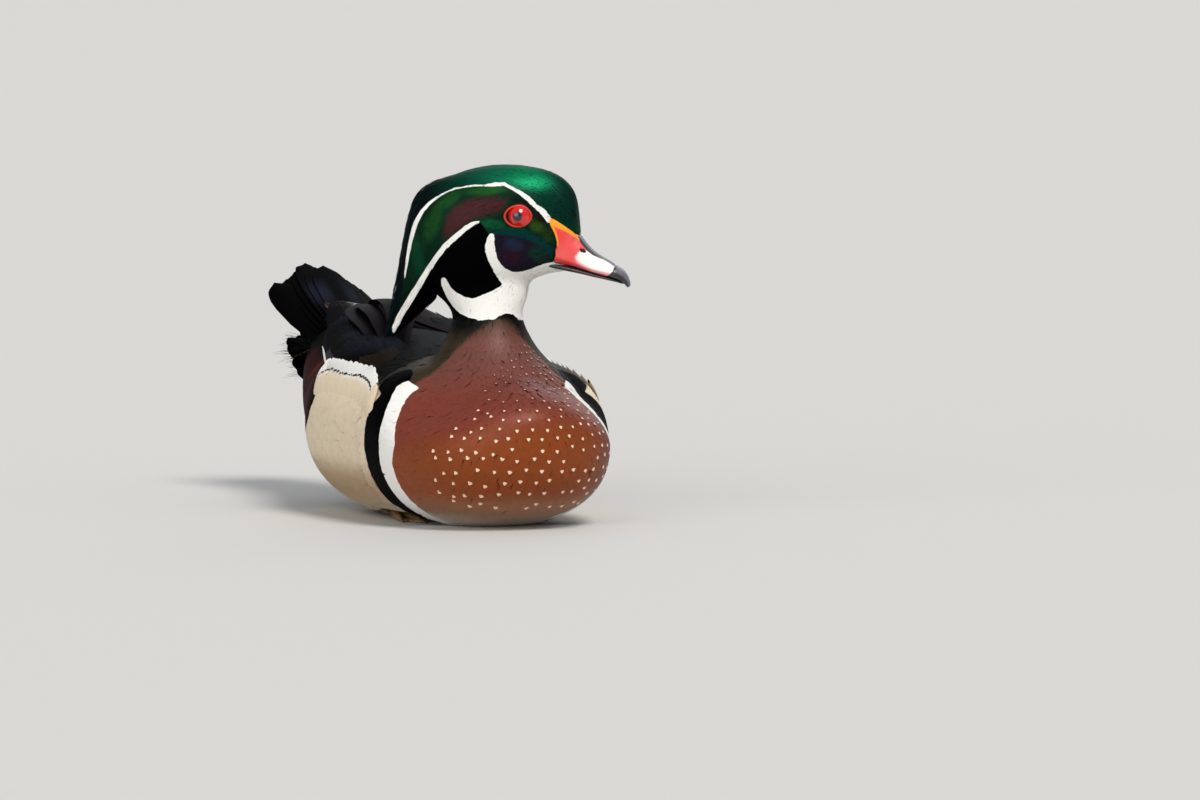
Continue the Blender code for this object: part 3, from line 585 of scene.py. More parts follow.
def head_rings(count=70, sides=56):
    rings = []
    for ahead, half_width, top, bottom, widest in rows_at(HEAD, np.linspace(0, 1, count)):
        section = oval(half_width, top - widest, widest - bottom, HEAD_POWER, sides)
        rings.append(from_head(np.stack([np.full(sides, ahead), section[:, 0], widest + section[:, 1]], -1)))
    return rings


def crest_at(side, along, across, lift=0.0, narrow=1.0):
    """Places on the crest: along it, across it from the back edge, and off its surface."""
    along, across = np.broadcast_arrays(np.asarray(along, float), np.asarray(across, float))
    row = rows_at(CREST, along)
    back = np.stack([row[..., 0], np.zeros(along.shape), row[..., 1]], -1)
    front = np.stack([row[..., 2], np.zeros(along.shape), row[..., 3]], -1)
    bulge = np.sqrt(np.clip(1 - (2 * across - 1) ** 2, 0, None))
    middle = back + (front - back) * across[..., None]
    middle[..., 1] = side * row[..., 4] * narrow * bulge
    out = unit(back - front) * (1 - 2 * across)[..., None]
    out[..., 1] += side * bulge
    return from_head(middle + out * np.asarray(lift, float)[..., None])


def crest_core_rings(count=24, sides=32):
    rings = []
    angle = np.arange(sides) * 2 * math.pi / sides
    for along in np.linspace(0, CREST_CORE_END, count):
        full = 1 - 0.75 * (along / CREST_CORE_END) ** 2
        side = np.where(np.arange(sides) < sides / 2, 1.0, -1.0)
        across = 0.5 - 0.5 * np.cos(angle) * full
        rings.append(crest_at(side, np.full(sides, along), across, np.zeros(sides), full))
    return rings


def whole_form(name, voxel, smoothing):
    """Torso, neck, head and the crest's core as one smooth closed surface."""
    start, points, quads, fans = 0, [], [], []
    for rings in (torso_rings(), neck_rings(), head_rings(), crest_core_rings()):
        p, q, f = loft_arrays(rings)
        points.append(p), quads.append(q + start), fans.append(f + start)
        start += len(p)
    made = mesh_of(name, np.concatenate(points), [np.concatenate(quads), np.concatenate(fans)])
    face_outwards(made)
    modifier(made, "REMESH", mode="VOXEL", voxel_size=voxel * MM)
    modifier(made, "SMOOTH", factor=0.5, iterations=smoothing)
    apply_all(made)
    made.data.shade_smooth()
    return made


class Surface:
    """The feathered outline of the bird, to find places and slopes on."""

    def __init__(self, made):
        self.points, self.normals = points_of(made), normals_of(made)
        self.faces = np.array([p.vertices[:] for p in made.data.polygons if len(p.vertices) == 4])
        self.tree = BVHTree.FromPolygons(self.points.tolist(), self.faces.tolist())
        self.face_normals = unit(self.normals[self.faces].mean(1))

    def nearest(self, points):
        """Nearest places on the surface, and the slopes there."""
        places, normals = np.empty((len(points), 3)), np.empty((len(points), 3))
        find, slopes = self.tree.find_nearest, self.face_normals
        for i, point in enumerate(points):
            spot, _, face, _ = find(point)
            places[i] = spot
            normals[i] = slopes[face]
        return places, normals

    def scatter(self, spacing_at, seed):
        """Evenly spread places, no two nearer than the spacing there."""
        rng = np.random.default_rng(seed)
        corners = self.points[self.faces]
        spacing = spacing_at(corners.mean(1))
        diagonals = corners[:, 2] - corners[:, 0], corners[:, 3] - corners[:, 1]
        area = 0.5 * np.linalg.norm(np.cross(*diagonals), axis=1)
        wanted = np.where(spacing > 0, 4.5 * area / np.maximum(spacing, 0.1) ** 2, 0)
        number = rng.poisson(wanted)
        face = np.repeat(np.arange(len(area)), number)
        rng.shuffle(face)
        u, v = rng.random((2, len(face), 1))
        quad = corners[face]
        near, far = quad[:, 0] * (1 - u) + quad[:, 1] * u, quad[:, 3] * (1 - u) + quad[:, 2] * u
        spots = near * (1 - v) + far * v
        reach = spacing[face]
        tree = KDTree(len(spots))
        for i, spot in enumerate(spots):
            tree.insert(spot, i)
        tree.balance()
        free = np.ones(len(spots), bool)
        kept = []
        for i in range(len(spots)):
            if free[i]:
                kept.append(i)
                for _, other, _ in tree.find_range(spots[i], reach[i]):
                    free[other] = False
        kept = np.array(kept)
        return spots[kept], self.face_normals[face[kept]], reach[kept]


# ---------------------------------------------------------------- the lie of the feathers
LIE_HEAD = [  # place and lie in the head's frame, given for the left side
    ((31, 0, 2), (-0.3, 0, 0.95)),
    ((27, 5, 10), (-0.7, 0.1, 0.7)),
    ((18, 0, 20), (-0.9, 0, 0.4)),
    ((0, 0, 24), (-1, 0, 0)),
    ((-26, 0, 22), (-1, 0, -0.15)),
    ((-44, 0, 12), (-0.7, 0, -0.7)),
    ((-56, 0, -8), (-0.15, 0, -1)),
    ((24, 9, -8), (-1, 0, 0.15)),
    ((20, 10, -18), (-1, 0, 0)),
    ((10, 14, 5), (-1, 0, 0.2)),
    ((-2, 17, 12), (-1, 0, 0.1)),
    ((-16, 20, 0), (-1, 0, -0.25)),
    ((-30, 18, 5), (-0.9, 0, -0.45)),
    ((-42, 13, -5), (-0.6, 0, -0.8)),
    ((10, 16, -14), (-1, 0, -0.15)),
    ((-5, 18, -20), (-1, 0, -0.45)),
    ((-20, 18, -20), (-0.8, 0, -0.6)),
    ((-34, 15, -22), (-0.5, 0, -0.9)),
    ((22, 4, -27), (-1, 0, 0)),
    ((10, 8, -31), (-0.9, 0, -0.3)),
    ((0, 12, -36), (-0.5, 0, -0.85)),
    ((-20, 14, -42), (-0.2, 0, -1)),
    ((-36, 5, -40), (0, 0, -1)),
]
LIE_BODY = [  # place and lie, given for the left side
    ((42, 16, 104), (0, 0.1, -1)),
    ((60, 0, 104), (0.2, 0, -1)),
    ((24, 0, 104), (-0.2, 0, -1)),
    ((72, 0, 84), (0.8, 0, -0.7)),
    ((44, 30, 84), (-0.2, 0.6, -0.8)),
    ((14, 0, 90), (-1, 0, -0.3)),
    ((108, 0, 55), (0, 0, -1)),
    ((98, 34, 50), (-0.35, 0.2, -0.9)),
    ((96, 0, 18), (-0.9, 0, -0.6)),
    ((80, 48, 55), (-0.6, 0.2, -0.75)),
    ((80, 44, 25), (-0.85, 0.1, -0.5)),
    ((56, 56, 55), (-0.75, 0.1, -0.6)),
    ((56, 54, 25), (-0.95, 0, -0.25)),
    ((50, 40, 78), (-0.8, 0.4, -0.4)),
    ((0, 60, 45), (-1, 0, 0.12)),
    ((-50, 60, 45), (-1, 0, 0.22)),
    ((0, 40, 5), (-1, 0, 0)),
    ((-60, 35, 8), (-1, 0, 0.05)),
    ((0, 30, 86), (-1, 0, 0)),
    ((-60, 25, 92), (-1, 0, 0.05)),
    ((-110, 35, 60), (-1, 0, 0.3)),
    ((-110, 0, 15), (-1, 0, 0.3)),
    ((-140, 0, 92), (-0.9, 0, 0.4)),
    ((-165, 15, 62), (-0.8, 0, 0.55)),
]
HEAD_FLOOR = 106.0  # height over which the head's feathers begin
COLLAR_FLOOR = 94.0  # height over which the head's marks begin


def guides():
    places, lies = [], []
    for table, inside in ((LIE_HEAD, True), (LIE_BODY, False)):
        for place, lie in table:
            for side in (1, -1) if place[1] else (1,):
                spot = np.array([place[0], side * place[1], place[2]], float)
                way = np.array([lie[0], side * lie[1], lie[2]], float)
                places.append(from_head(spot) if inside else spot)
                lies.append(way @ turned.T if inside else way)
    return np.array(places), unit(np.array(lies))


GUIDE_PLACES, GUIDE_LIES = guides()


def lie_at(points, normals):
    """Which way feathers lie at each place, along the surface."""
    gap = np.linalg.norm(points[:, None] - GUIDE_PLACES[None], axis=2)
    pull = 1 / (gap + 2.0) ** 3.5
    way = (pull[..., None] * GUIDE_LIES).sum(1)
    return unit(way - normals * dot(way, normals))


# ---------------------------------------------------------------- marks
# Lines are (ahead, up, half width) and outlines (ahead, up), as seen from the side of the head.
UPPER_LINE = [
    (16.1, -2.5, 1.43), (12.9, 1.8, 1.5), (9.4, 4.3, 1.07), (5.8, 7.9, 1.21), (2.2, 10.7, 1),
    (-2.1, 13.2, 0.79), (-6.4, 15.4, 0.79), (-11.4, 15.1, 1), (-16.4, 14.6, 0.38), (-21.4, 14.6, 0.43),
    (-26.4, 13.8, 0.43), (-31.4, 12.9, 0.43), (-35.6, 11.1, 0.43), (-39.9, 8.6, 0.48), (-44.2, 5.4, 0.65),
    (-47.8, 1.1, 0.91), (-50.6, -3.9, 1.12), (-52.4, -9.6, 1.07), (-53.9, -16.1, 0.91),
    (-54.9, -21.8, 0.75), (-55.8, -27.5, 0.53), (-56.4, -32.5, 0.22),
]
LOWER_LINE = [
    (-18.5, -3.6, 0.36), (-22.1, -4.6, 1), (-26.4, -7.5, 1.21), (-31.4, -11.8, 1.29),
    (-36.4, -16.4, 1.29), (-40.6, -21.8, 1.29), (-44.9, -28.2, 1.36), (-49.2, -35.4, 1.5),
    (-53.1, -41.8, 1.57), (-56.7, -47.5, 1.57), (-59.6, -52.5, 1.5), (-61.7, -57.5, 1.21),
    (-62.2, -59.6, 0.43),
]
CHEEK_EDGE = [  # between cheek and throat
    (7.2, -26.8), (2.9, -28.2), (-2.1, -28.6), (-5.6, -27.1), (-8.1, -24.6), (-9.9, -21.8),
    (-10.8, -17.5),
]
NAPE_EDGE = [  # between throat and nape
    (-15.1, -11.8), (-16, -16.1), (-15.3, -20.4), (-13.5, -24.6), (-11.4, -28.9), (-9.2, -32.1),
    (-7.2, -35), (-12.1, -37.9), (-17.1, -40), (-22.1, -42.1), (-26.4, -41.1), (-30.6, -38.9),
    (-33.5, -36.1), (-34.9, -33.2), (-36.7, -31.3), (-37.9, -32.1), (-38.1, -33.9), (-37.1, -37.5),
    (-34.9, -41.8), (-32.1, -46.1), (-28.5, -49.6),
]
THROAT = [
    (19.4, -23.2), (15.1, -23.9), (11.5, -25),
    *CHEEK_EDGE,
    (-11.4, -13.2), (-11.5, -9.8), (-13.1, -9.1),
    *NAPE_EDGE,
    (-24.2, -51.4), (-18.5, -52.9), (-15.6, -52.4), (-11.4, -52.5), (-9.2, -50.7), (-5.6, -49.3),
    (-2.1, -49.6), (1.1, -52.5), (7.2, -52.5), (36, -44), (36, -24.5),
]
NAPE_BLACK = [
    (-14.2, -9.6),
    *(row[:2] for row in LOWER_LINE[:10]),
    (-62.2, -59.6), (-64.2, -68.9), (-54.2, -60.4), (-44.9, -50.5), (-39.9, -49.6), (-35.6, -50.1),
    (-31.4, -53.2),
    *NAPE_EDGE[::-1],
]
HEAD_AREA = [  # all that is over the collar's lower edge
    (-90, 45), (50, 45), (50, -52.5), (1.1, -52.5), (-2.1, -49.6), (-5.6, -49.3), (-9.2, -50.7),
    (-11.4, -52.5), (-18.5, -52.9), (-24.2, -51.4), (-28.5, -49.6), (-31.4, -53.2), (-40, -54),
    (-90, -80),
]
PURPLE_PATCH = [
    (-4.2, 7.5), (-11.4, 9.3), (-18.5, 8.9), (-25.6, 7.5), (-30.6, 4.6), (-34.2, 1.1), (-36.4, -4.6),
    (-37.1, -10.4), (-36.4, -13.9), (-31.4, -9.6), (-25.6, -5.4), (-19.9, -1.8), (-14.2, -0.4),
    (-7.8, 1.1), (-5.6, 3.9),
]
CHEEK = [
    (-11.4, -9.8), (-6.4, -10.4), (0.1, -11.1), (5.8, -12.5), (10.8, -15.4), (14.4, -18.2), (16.5, -21.8),
    (13.6, -23.9),
    *CHEEK_EDGE,
]
CHEEK_RIM = [
    (-12.8, -9.3, 0.71), (-7.1, -9.3, 1.07), (-0.6, -9.6, 1.43), (6.5, -11.1, 1.79), (12.2, -13.9, 1.79),
    (16.5, -18.2, 1.79),
]
SIDE_EDGE = [
    (16.2, -1.9), (16.4, -5), (18.7, -9.5), (19.8, -13.3), (20.1, -17.1), (19.3, -20.9), (18.3, -23.5),
]
TOP_EDGE = [(30.2, -11.4), (26.8, -8.5), (23.3, -5.7), (19.8, -3.3), (16.7, -1.7)]
BARE_BILL = TOP_EDGE + SIDE_EDGE + [(18.3, -44), (75, -64), (75, -20)]
CROWN_REST = [(-57, -40), (-59, -50), (-62.5, -62), (-90, -80), (-90, 45), (50, 45), (50, -20)]
# Sheens of the head's feathers, in the order in which they are laid: middle, reach, turn in degrees,
# colour and strength. They are the feathers' iridescent colours with painted highlights in them: the bright
# emerald patches on the crown and the bright green along the band between the white lines are painted
# highlight.
CROWN_SHEENS = [
    ((-6, 22), (34, 13), 0, (0.004, 0.105, 0.055), 0.9),
    ((6, 19), (17, 8.5), -18, (0.0006, 0.190, 0.076), 1.0),
    ((-8, 20), (12, 5), 0, (0.001, 0.150, 0.066), 0.7),
    ((25, 4), (12, 17), -20, (0.0015, 0.024, 0.016), 0.9),
]
FACE_SHEENS = [
    ((-16, 12.5), (15, 4.2), 4, (0.010, 0.085, 0.014), 0.85),
    ((-34, 7.5), (12, 4.5), 34, (0.010, 0.070, 0.014), 0.8),
    ((-42, -5), (5.5, 13), -18, (0.009, 0.062, 0.012), 0.8),
    ((-50, -20), (4.5, 17), 12, (0.001, 0.050, 0.020), 0.7),
    ((2, 6.5), (9, 4.5), -38, (0.0016, 0.008, 0.005), 1.0),
    ((-1, 2.5), (8.5, 7), 0, (0.0012, 0.016, 0.009), 0.7),
    ((-12, -4.8), (10, 3.6), -8, (0.0012, 0.070, 0.026), 0.9),
    ((0, -8.2), (9, 2.8), -6, (0.001, 0.050, 0.024), 0.85),
    ((10, -5.5), (6, 4.5), -35, (0.030, 0.075, 0.010), 0.85),
    ((12.5, -0.5), (5.5, 5.5), -40, (0.010, 0.007, 0.004), 1.0),
    ((15, -10), (4.2, 5.5), 20, (0.016, 0.040, 0.008), 0.8),
]
CHEEK_SHEENS = [
    ((-3, -21), (8, 7), 0, (0.024, 0.006, 0.018), 0.9),
    ((-1.5, -15), (8, 4.5), -12, (0.014, 0.022, 0.050), 0.85),
    ((10.5, -19.5), (7, 5.5), -30, (0.003, 0.036, 0.020), 0.8),
]


def lay_patches(tint, flat, sheens, amount):
    for middle, reach, turn, colour, strength in sheens:
        tint = lay(tint, colour, strength * amount * np.minimum(1, 1.6 * patch(flat, middle, reach, turn)))
    return tint


def head_marks(points):
    """Tint, shine, white and black of the head and crest."""
    flat = seen_from_side(points)
    f, u = flat.T
    crown = smooth_step(-0.5, 0.9, inside_area(flat, [row[:2] for row in UPPER_LINE] + CROWN_REST))
    band = 1 - crown
    tint = all_one(points, (0.0012, 0.020, 0.009))
    # Iridescent colours of the band, the bright green between the white lines partly painted highlight.
    tint = lay_patches(tint, flat, FACE_SHEENS, band)
    tint = lay(tint, (0.050, 0.0135, 0.0165), band * smooth_step(-1.8, 3.0, inside_area(flat, PURPLE_PATCH)))
    tint = lay(tint, (0.0013, 0.0048, 0.0016), band * 0.85 * smooth_step(-30, -42, u))
    tint = lay(tint, (0.0006, 0.036, 0.020), crown)
    # The crown's iridescent green, its bright emerald patches a painted highlight.
    tint = lay_patches(tint, flat, CROWN_SHEENS, crown)
    tint = lay(tint, (0.0006, 0.0050, 0.0058), crown * smooth_step(-30, -47, f))
    tint = lay(tint, (0.0007, 0.034, 0.034), smooth_step(-1.6, 1.2, line_band(flat, CHEEK_RIM)))
    cheek = smooth_step(-0.9, 0.9, inside_area(flat, CHEEK))
    tint = lay(tint, (0.011, 0.007, 0.018), cheek)
    tint = lay_patches(tint, flat, CHEEK_SHEENS, cheek)
    white = np.maximum(line_band(flat, UPPER_LINE), line_band(flat, LOWER_LINE))
    white = np.maximum(white, inside_area(flat, THROAT))
    black = inside_area(flat, NAPE_BLACK)
    return tint, np.full(len(points), 0.40), white, black


# Edges of the bars before the flanks, and where the buff begins behind them, as (ahead, up) from the side.
BAR_REAR = [(44.5, -20), (44.1, 33), (45.2, 42), (45.7, 48), (46.3, 55), (45.1, 62), (42.5, 68.8)]
BAR_FRONT = [
    (41.8, 70.2), (44.7, 72.3), (52.7, 69.3), (52.3, 67.3), (52.4, 64.4), (54.1, 58.6), (55.6, 51.7),
    (57.5, 45.9), (58.3, 42), (55.5, 33.7), (55, -20),
]
BAR_WHITE = BAR_REAR + BAR_FRONT
BUFF_FRONT = [(28, -20), (27.9, 33), (27.1, 38), (27.7, 44.1), (29.1, 51.2), (29.8, 58.2), (34.5, 65.4)]
BAR_TOP = [(25.7, 67.8), (23.5, 72.5), (29, 76.5), (36, 77.5), (42, 75.5), (46, 71.5)]
BAR_BLACK = BUFF_FRONT + BAR_TOP + BAR_REAR[::-1]
BUFF_TOP = [
    (34.5, 65.4), (25.7, 67.8), (15.2, 71), (1.6, 74.1), (-15.6, 76.4), (-32.8, 77.8), (-45.9, 77.9),
    (-55, 76.9), (-59.2, 73),
]
BUFF_REAR = [
    (-51.5, 69.8), (-48.5, 64.1), (-49.5, 57.2), (-54.5, 48.8), (-63, 43.2), (-76, 32), (-84, 20),
    (-86, -20),
]
BUFF_AREA = BUFF_FRONT + BUFF_TOP + BUFF_REAR
BARS_LEAD = 20.0  # how far the left side's bars lie ahead of the right side's
FAR_OFF = -50.0  # depth inside the bars near the middle of the body, where there are none
RUMP = [(-58, 30), (-56, 68), (-80, 73), (-128, 78), (-146, 70), (-140, 52), (-112, 26)]
RUMP_STREAK = [(-108, 62.5, 0.4), (-98, 68, 2), (-88, 72, 2.2), (-80, 74, 0.8)]
MAROON_REAR_RIGHT = [
    (60, 49), (71.6, 49.4), (78.8, 49.9), (83.8, 50.8), (88.2, 51.7), (92.3, 54), (95.3, 55.8),
    (98.8, 57.3), (104, 59),
]
MAROON_REAR_LEFT = [
    (60, 66), (68.5, 68), (72.4, 67), (76.5, 65.7), (80.3, 62.4), (88, 60), (98.8, 58), (104, 59),
]
CHESTNUT_TOP = [
    (-75, 43), (-59.4, 44.8), (-41.3, 47.6), (-26.7, 51), (-13.3, 54.1), (0.2, 55.9), (17.2, 57.1),
    (33.5, 54), (60, 46),
]


def edge_of(table, values):
    return np.interp(values, *np.array(table, float).T)


def body_marks(points):
    """Tint, shine, white, black and depth of the fine bars, on the neck and body."""
    x, y, z = points.T
    side = np.abs(y)
    ahead = x - np.where(y > 0, BARS_LEAD, 0.0) * smooth_step(-40, 20, x)
    flat, true_flat = np.stack([ahead, z], -1), np.stack([x, z], -1)
    around = np.degrees(np.arctan2(y, x - 44))
    tint = all_one(points, MAROON)
    tint = lay(tint, NECK_PURPLE, smooth_step(60, 86, z))
    chestnut = smooth_step(9.0, -12.0, z - edge_of(CHESTNUT_TOP, around))
    tint = lay(tint, CHESTNUT, chestnut)
    tint = lay(tint, (0.120, 0.022, 0.010), 0.7 * smooth_step(28, 48, around) * smooth_step(60, 46, z))
    tint = lay(tint, NECK_BROWN, 0.75 * smooth_step(90, 100, z))
    tint = lay(tint, (0.30, 0.15, 0.08), smooth_step(20, 8, z))
    tint = lay(tint, (0.70, 0.62, 0.50), smooth_step(10, 2, z) * smooth_step(100, 60, x))
    rear_edge = np.where(y > 0, edge_of(MAROON_REAR_LEFT, z), edge_of(MAROON_REAR_RIGHT, z))
    back = smooth_step(1.6, -1.6, x - rear_edge) * smooth_step(64, 67, z)
    near_neck = smooth_step(18, 34, x)[:, None]
    dark_back = (1 - near_neck) * np.array(SOOT) + near_neck * np.array(OLIVE)
    tint = tint * (1 - back[:, None]) + dark_back * back[:, None]
    tint = lay(tint, SOOT, back * smooth_step(90, 100, z))
    flank = smooth_step(-0.5, 0.5, inside_area(flat, BUFF_AREA)) * (side > 8)
    low = (z < 30) & (x < 28) & (x > -86)
    flank = np.where(low, 1.0, flank)
    tint = lay(tint, BUFF, flank)
    # Painted shade: the buff flank darkens towards its lower, outer edge.
    tint = lay(tint, (0.30, 0.17, 0.06), flank * 0.65 * smooth_step(34, 20, z) * smooth_step(38, 54, side))
    tint = lay(tint, (0.80, 0.76, 0.66), flank * smooth_step(44, 22, side) * smooth_step(24, 4, z))
    behind = smooth_step(0.5, -0.5, inside_area(flat, BUFF_AREA)) * (x < -40) * ~low
    tint = lay(tint, SOOT, behind)
    red = inside_area(true_flat, RUMP)
    tint = lay(tint, RUMP_RED, smooth_step(-2, 2, red) * smooth_step(14, 22, side) * (1 - flank))
    streak = smooth_step(-1.6, 2.2, line_band(true_flat, RUMP_STREAK))
    tint = lay(tint, (0.15, 0.014, 0.003), streak * (side > 20))
    rear_line = line_band(true_flat, [(a - 1.2, b, 1.5) for a, b in BUFF_REAR])
    white = np.where(side > 20, inside_area(flat, BAR_WHITE), FAR_OFF)
    black = np.where(side > 20, np.maximum(inside_area(flat, BAR_BLACK), rear_line), FAR_OFF)
    dark = np.clip(smooth_step(-2, 2, red) + behind + back, 0, 1)
    shine = mixed(0.10, 0.55, dark) * (1 - flank)
    depth = mixed(0.30, 0.08, smooth_step(24, 50, z))
    bars = flank * smooth_step(8, 16, z) * smooth_step(36, 48, side) * depth
    return tint, shine, white, black, bars


def marks_at(points, *_):
    """Every mark at each place, the head's over the body's."""
    tint, shine, white, black, bars = body_marks(points)
    head_tint, head_shine, head_white, head_black = head_marks(points)
    near = points[:, 2] > COLLAR_FLOOR
    head = near & (inside_area(seen_from_side(points), HEAD_AREA) > 0)
    return (
        np.where(head[:, None], head_tint, tint),
        np.where(head, head_shine, shine),
        np.where(near, head_white, white),
        np.where(near, head_black, black),
        np.where(head, 0.0, bars),
    )


# ---------------------------------------------------------------- feathers
SILKY = ((0.0, 0.45), (0.3, 0.85), (0.6, 1.0), (0.85, 0.8), (1.0, 0.35))
BROAD = ((0.0, 0.5), (0.2, 0.78), (0.45, 0.95), (0.7, 1.0), (0.88, 0.85), (1.0, 0.45))
LOCK = ((0.0, 0.15), (0.15, 0.7), (0.35, 1.0), (0.6, 0.95), (0.78, 0.75), (0.9, 0.5), (1.0, 0.16))
OWN_PATCH = 0.003  # size of each feather's own square on the map


def unrolled(left, down, along):
    """Places on a map with a small margin: round the length from side and downward parts, and along it."""
    return 0.02 + 0.96 * np.stack([np.arctan2(left, down) / (2 * math.pi) + 0.5, along], -1)


def body_unwrap(points):
    x, y, z = points.T
    return unrolled(y, 48 - z, (x + 215) / 335)


def head_unwrap(points):
    f, left, up = to_head(points).T
    return unrolled(left, -14 - up, (f + 75) / 115)


class Coat:
    """Feathers gathered into one mesh, with their marks and maps."""

    def __init__(self, name, material, slot, nodes, unwrap=body_unwrap):
        self.name, self.material, self.slot, self.nodes, self.unwrap = name, material, slot, nodes, unwrap
        self.points, self.quads, self.caps = [], [], {}
        self.values = {key: [] for key in ("tint", "seed", "white", "black", "shine", "bars")}
        self.vane_maps, self.bake_maps = [], []
        self.count = 0

    def add(self, line, side, out, half, crown, wrap, tip, marks, jitter, rng, columns=3):
        """Lays feathers along their lines (n, rows, 3), each a thin wedge, crowned over its flat underside.

        half is the half width at each row, crown the rise of the shaft over the edges, wrap the surface's
        curve across the feather, and tip how far the edges trail behind the shaft. marks tells the marks at
        each place, and jitter is how far beside itself a feather may look them up.
        """
        number, rows = line.shape[:2]
        a = np.linspace(-1, 1, columns)
        s = np.linspace(0, 1, rows)
        length = np.linalg.norm(np.diff(line, axis=1), axis=2).sum(1)
        ahead = unit(np.gradient(line, axis=1))
        reach = half[:, :, None] * a
        rise = crown * (1 - a**2) - wrap * reach**2
        trail = (tip * length)[:, None, None] * (a**2) * (s**2)[:, None]
        grid = (
            line[:, :, None]
            + side[:, :, None] * reach[..., None]
            + out[:, :, None] * rise[..., None]
            - ahead[:, :, None] * trail[..., None]
        )
        flat = grid.reshape(-1, 3)
        index = np.arange(number * rows * columns).reshape(number, rows, columns) + self.count
        front, rear = index[:, :-1], index[:, 1:]
        top = np.stack([front[..., :-1], rear[..., :-1], rear[..., 1:], front[..., 1:]], -1).reshape(-1, 4)
        under = np.stack([front[..., 0], front[..., -1], rear[..., -1], rear[..., 0]], -1).reshape(-1, 4)
        self.points.append(flat)
        self.quads += [top, under]
        self.caps.setdefault(columns, []).extend([index[:, 0, :], index[:, -1, ::-1]])
        self.count += len(flat)
        seed = rng.random(number)
        drift = rng.normal(0, 1, (number, 1, 1, 3)) * jitter
        across = np.broadcast_to(0.5 + 0.5 * a, (number, rows, columns))
        down = np.broadcast_to(s[:, None], (number, rows, columns))
        found = marks((grid + drift).reshape(-1, 3), across.ravel(), down.ravel())
        for key, value in zip(("tint", "shine", "white", "black", "bars"), found):
            self.values[key].append(value)
        self.values["seed"].append(np.repeat(seed, rows * columns))
        self.vane_maps.append(np.stack([across, down], -1).reshape(-1, 2))
        root = self.unwrap(line[:, 0])[:, None, None]
        own_patch = np.stack([(across - 0.5) * OWN_PATCH, (down - 0.5) * OWN_PATCH], -1)
        self.bake_maps.append((root + own_patch).reshape(-1, 2))

    def finish(self):
        faces = [np.concatenate(self.quads)] + [np.concatenate(caps) for caps in self.caps.values()]
        made = mesh_of(self.name, np.concatenate(self.points), faces)
        made.data.set_sharp_from_angle(angle=math.radians(50))
        for key, parts in self.values.items():
            set_values(made, key, np.concatenate(parts))
        corner = np.empty(len(made.data.loops), np.int32)
        made.data.loops.foreach_get("vertex_index", corner)
        for name, parts in (("OFBake", self.bake_maps), ("Vane", self.vane_maps)):
            layer = made.data.uv_layers.new(name=name)
            layer.data.foreach_set("uv", np.concatenate(parts)[corner].astype(np.float32).ravel())
        settle(made, self.material, self.slot, *self.nodes)


def walk(surface, roots, normals, lies, lengths, shares, lifts):
    """Lines that follow the surface from each root, at shares of their length and heights off it."""
    line, side, out = [], [], []
    spot, slope, way = roots, normals, lies
    before = 0.0
    for share, lift in zip(shares, lifts):
        if share > before:
            spot, slope = surface.nearest(spot + way * (lengths * (share - before))[:, None])
            way = unit(way - slope * dot(way, slope))
            before = share
        line.append(spot + slope * np.asarray(lift).reshape(-1, 1))
        side.append(np.cross(slope, way))
        out.append(slope)
    return np.stack(line, 1), np.stack(side, 1), np.stack(out, 1)


def eye_gap(points):
    """How far each place is outside the lids, as a share of their size, on either side of the head."""
    f, _, u = to_head(points).T
    return np.hypot((f - EYE_AHEAD) / (LID_RADIUS[0] + 0.9), (u - EYE_UP) / (LID_RADIUS[1] + 0.9))


def bill_area(points):
    """Distance inside the bare bill, seen from the side."""
    f, _, u = to_head(points).T
    return inside_area(np.stack([f, u], -1), BARE_BILL)


def spacing_at(points):
    """How far apart feathers' roots are, 0 where there are none."""
    x, y, z = points.T
    f, left, u = to_head(points).T
    face = 0.80 + 0.40 * smooth_step(14, -20, f) + 0.5 * smooth_step(-20, -50, f)
    neck = mixed(1.25, 1.75, smooth_step(HEAD_FLOOR, 84, z))
    breast = mixed(1.75, 2.3, smooth_step(84, 60, z))
    body = np.where(x > 26, breast, mixed(3.6, 4.4, smooth_step(40, 20, z)))
    body = mixed(body, 3.4, smooth_step(-100, -125, x))
    spacing = np.where((z > 84) & (np.hypot(x - 42, y) < 36), neck, body)
    spacing = np.where(z > HEAD_FLOOR, face, spacing)
    near_eye = (np.abs(left) > 8) & (z > HEAD_FLOOR)
    spacing = np.where(near_eye & (eye_gap(points) < 1.0), 0, spacing)
    spacing = np.where(near_eye & (eye_gap(points) < 1.5), 0.7, spacing)
    bare = (z > HEAD_FLOOR) & (bill_area(points) > -0.2) & (f > 12) & (u < 0)
    spacing = np.where(bare & ~((u < -24) & (f < 24)), 0, spacing)
    return spacing


def across_line(line, out):
    """Directions to the side of a line and out of it, at right angles to its run."""
    ahead = unit(np.gradient(line, axis=-2))
    side = unit(np.cross(out, ahead))
    return side, np.cross(ahead, side)


# ---------------------------------------------------------------- the flesh and its small feathers
FOOT_BED = [
    (-60, 27, 3.5), (-50, 27, 5.5), (-30, 29, 5), (-14, 30, 7.5), (2, 31, 12.5), (20, 31, 15),
    (37, 31, 13),
]
LOWEST_FEATHER = 0.08  # small feathers keep this far off the floor

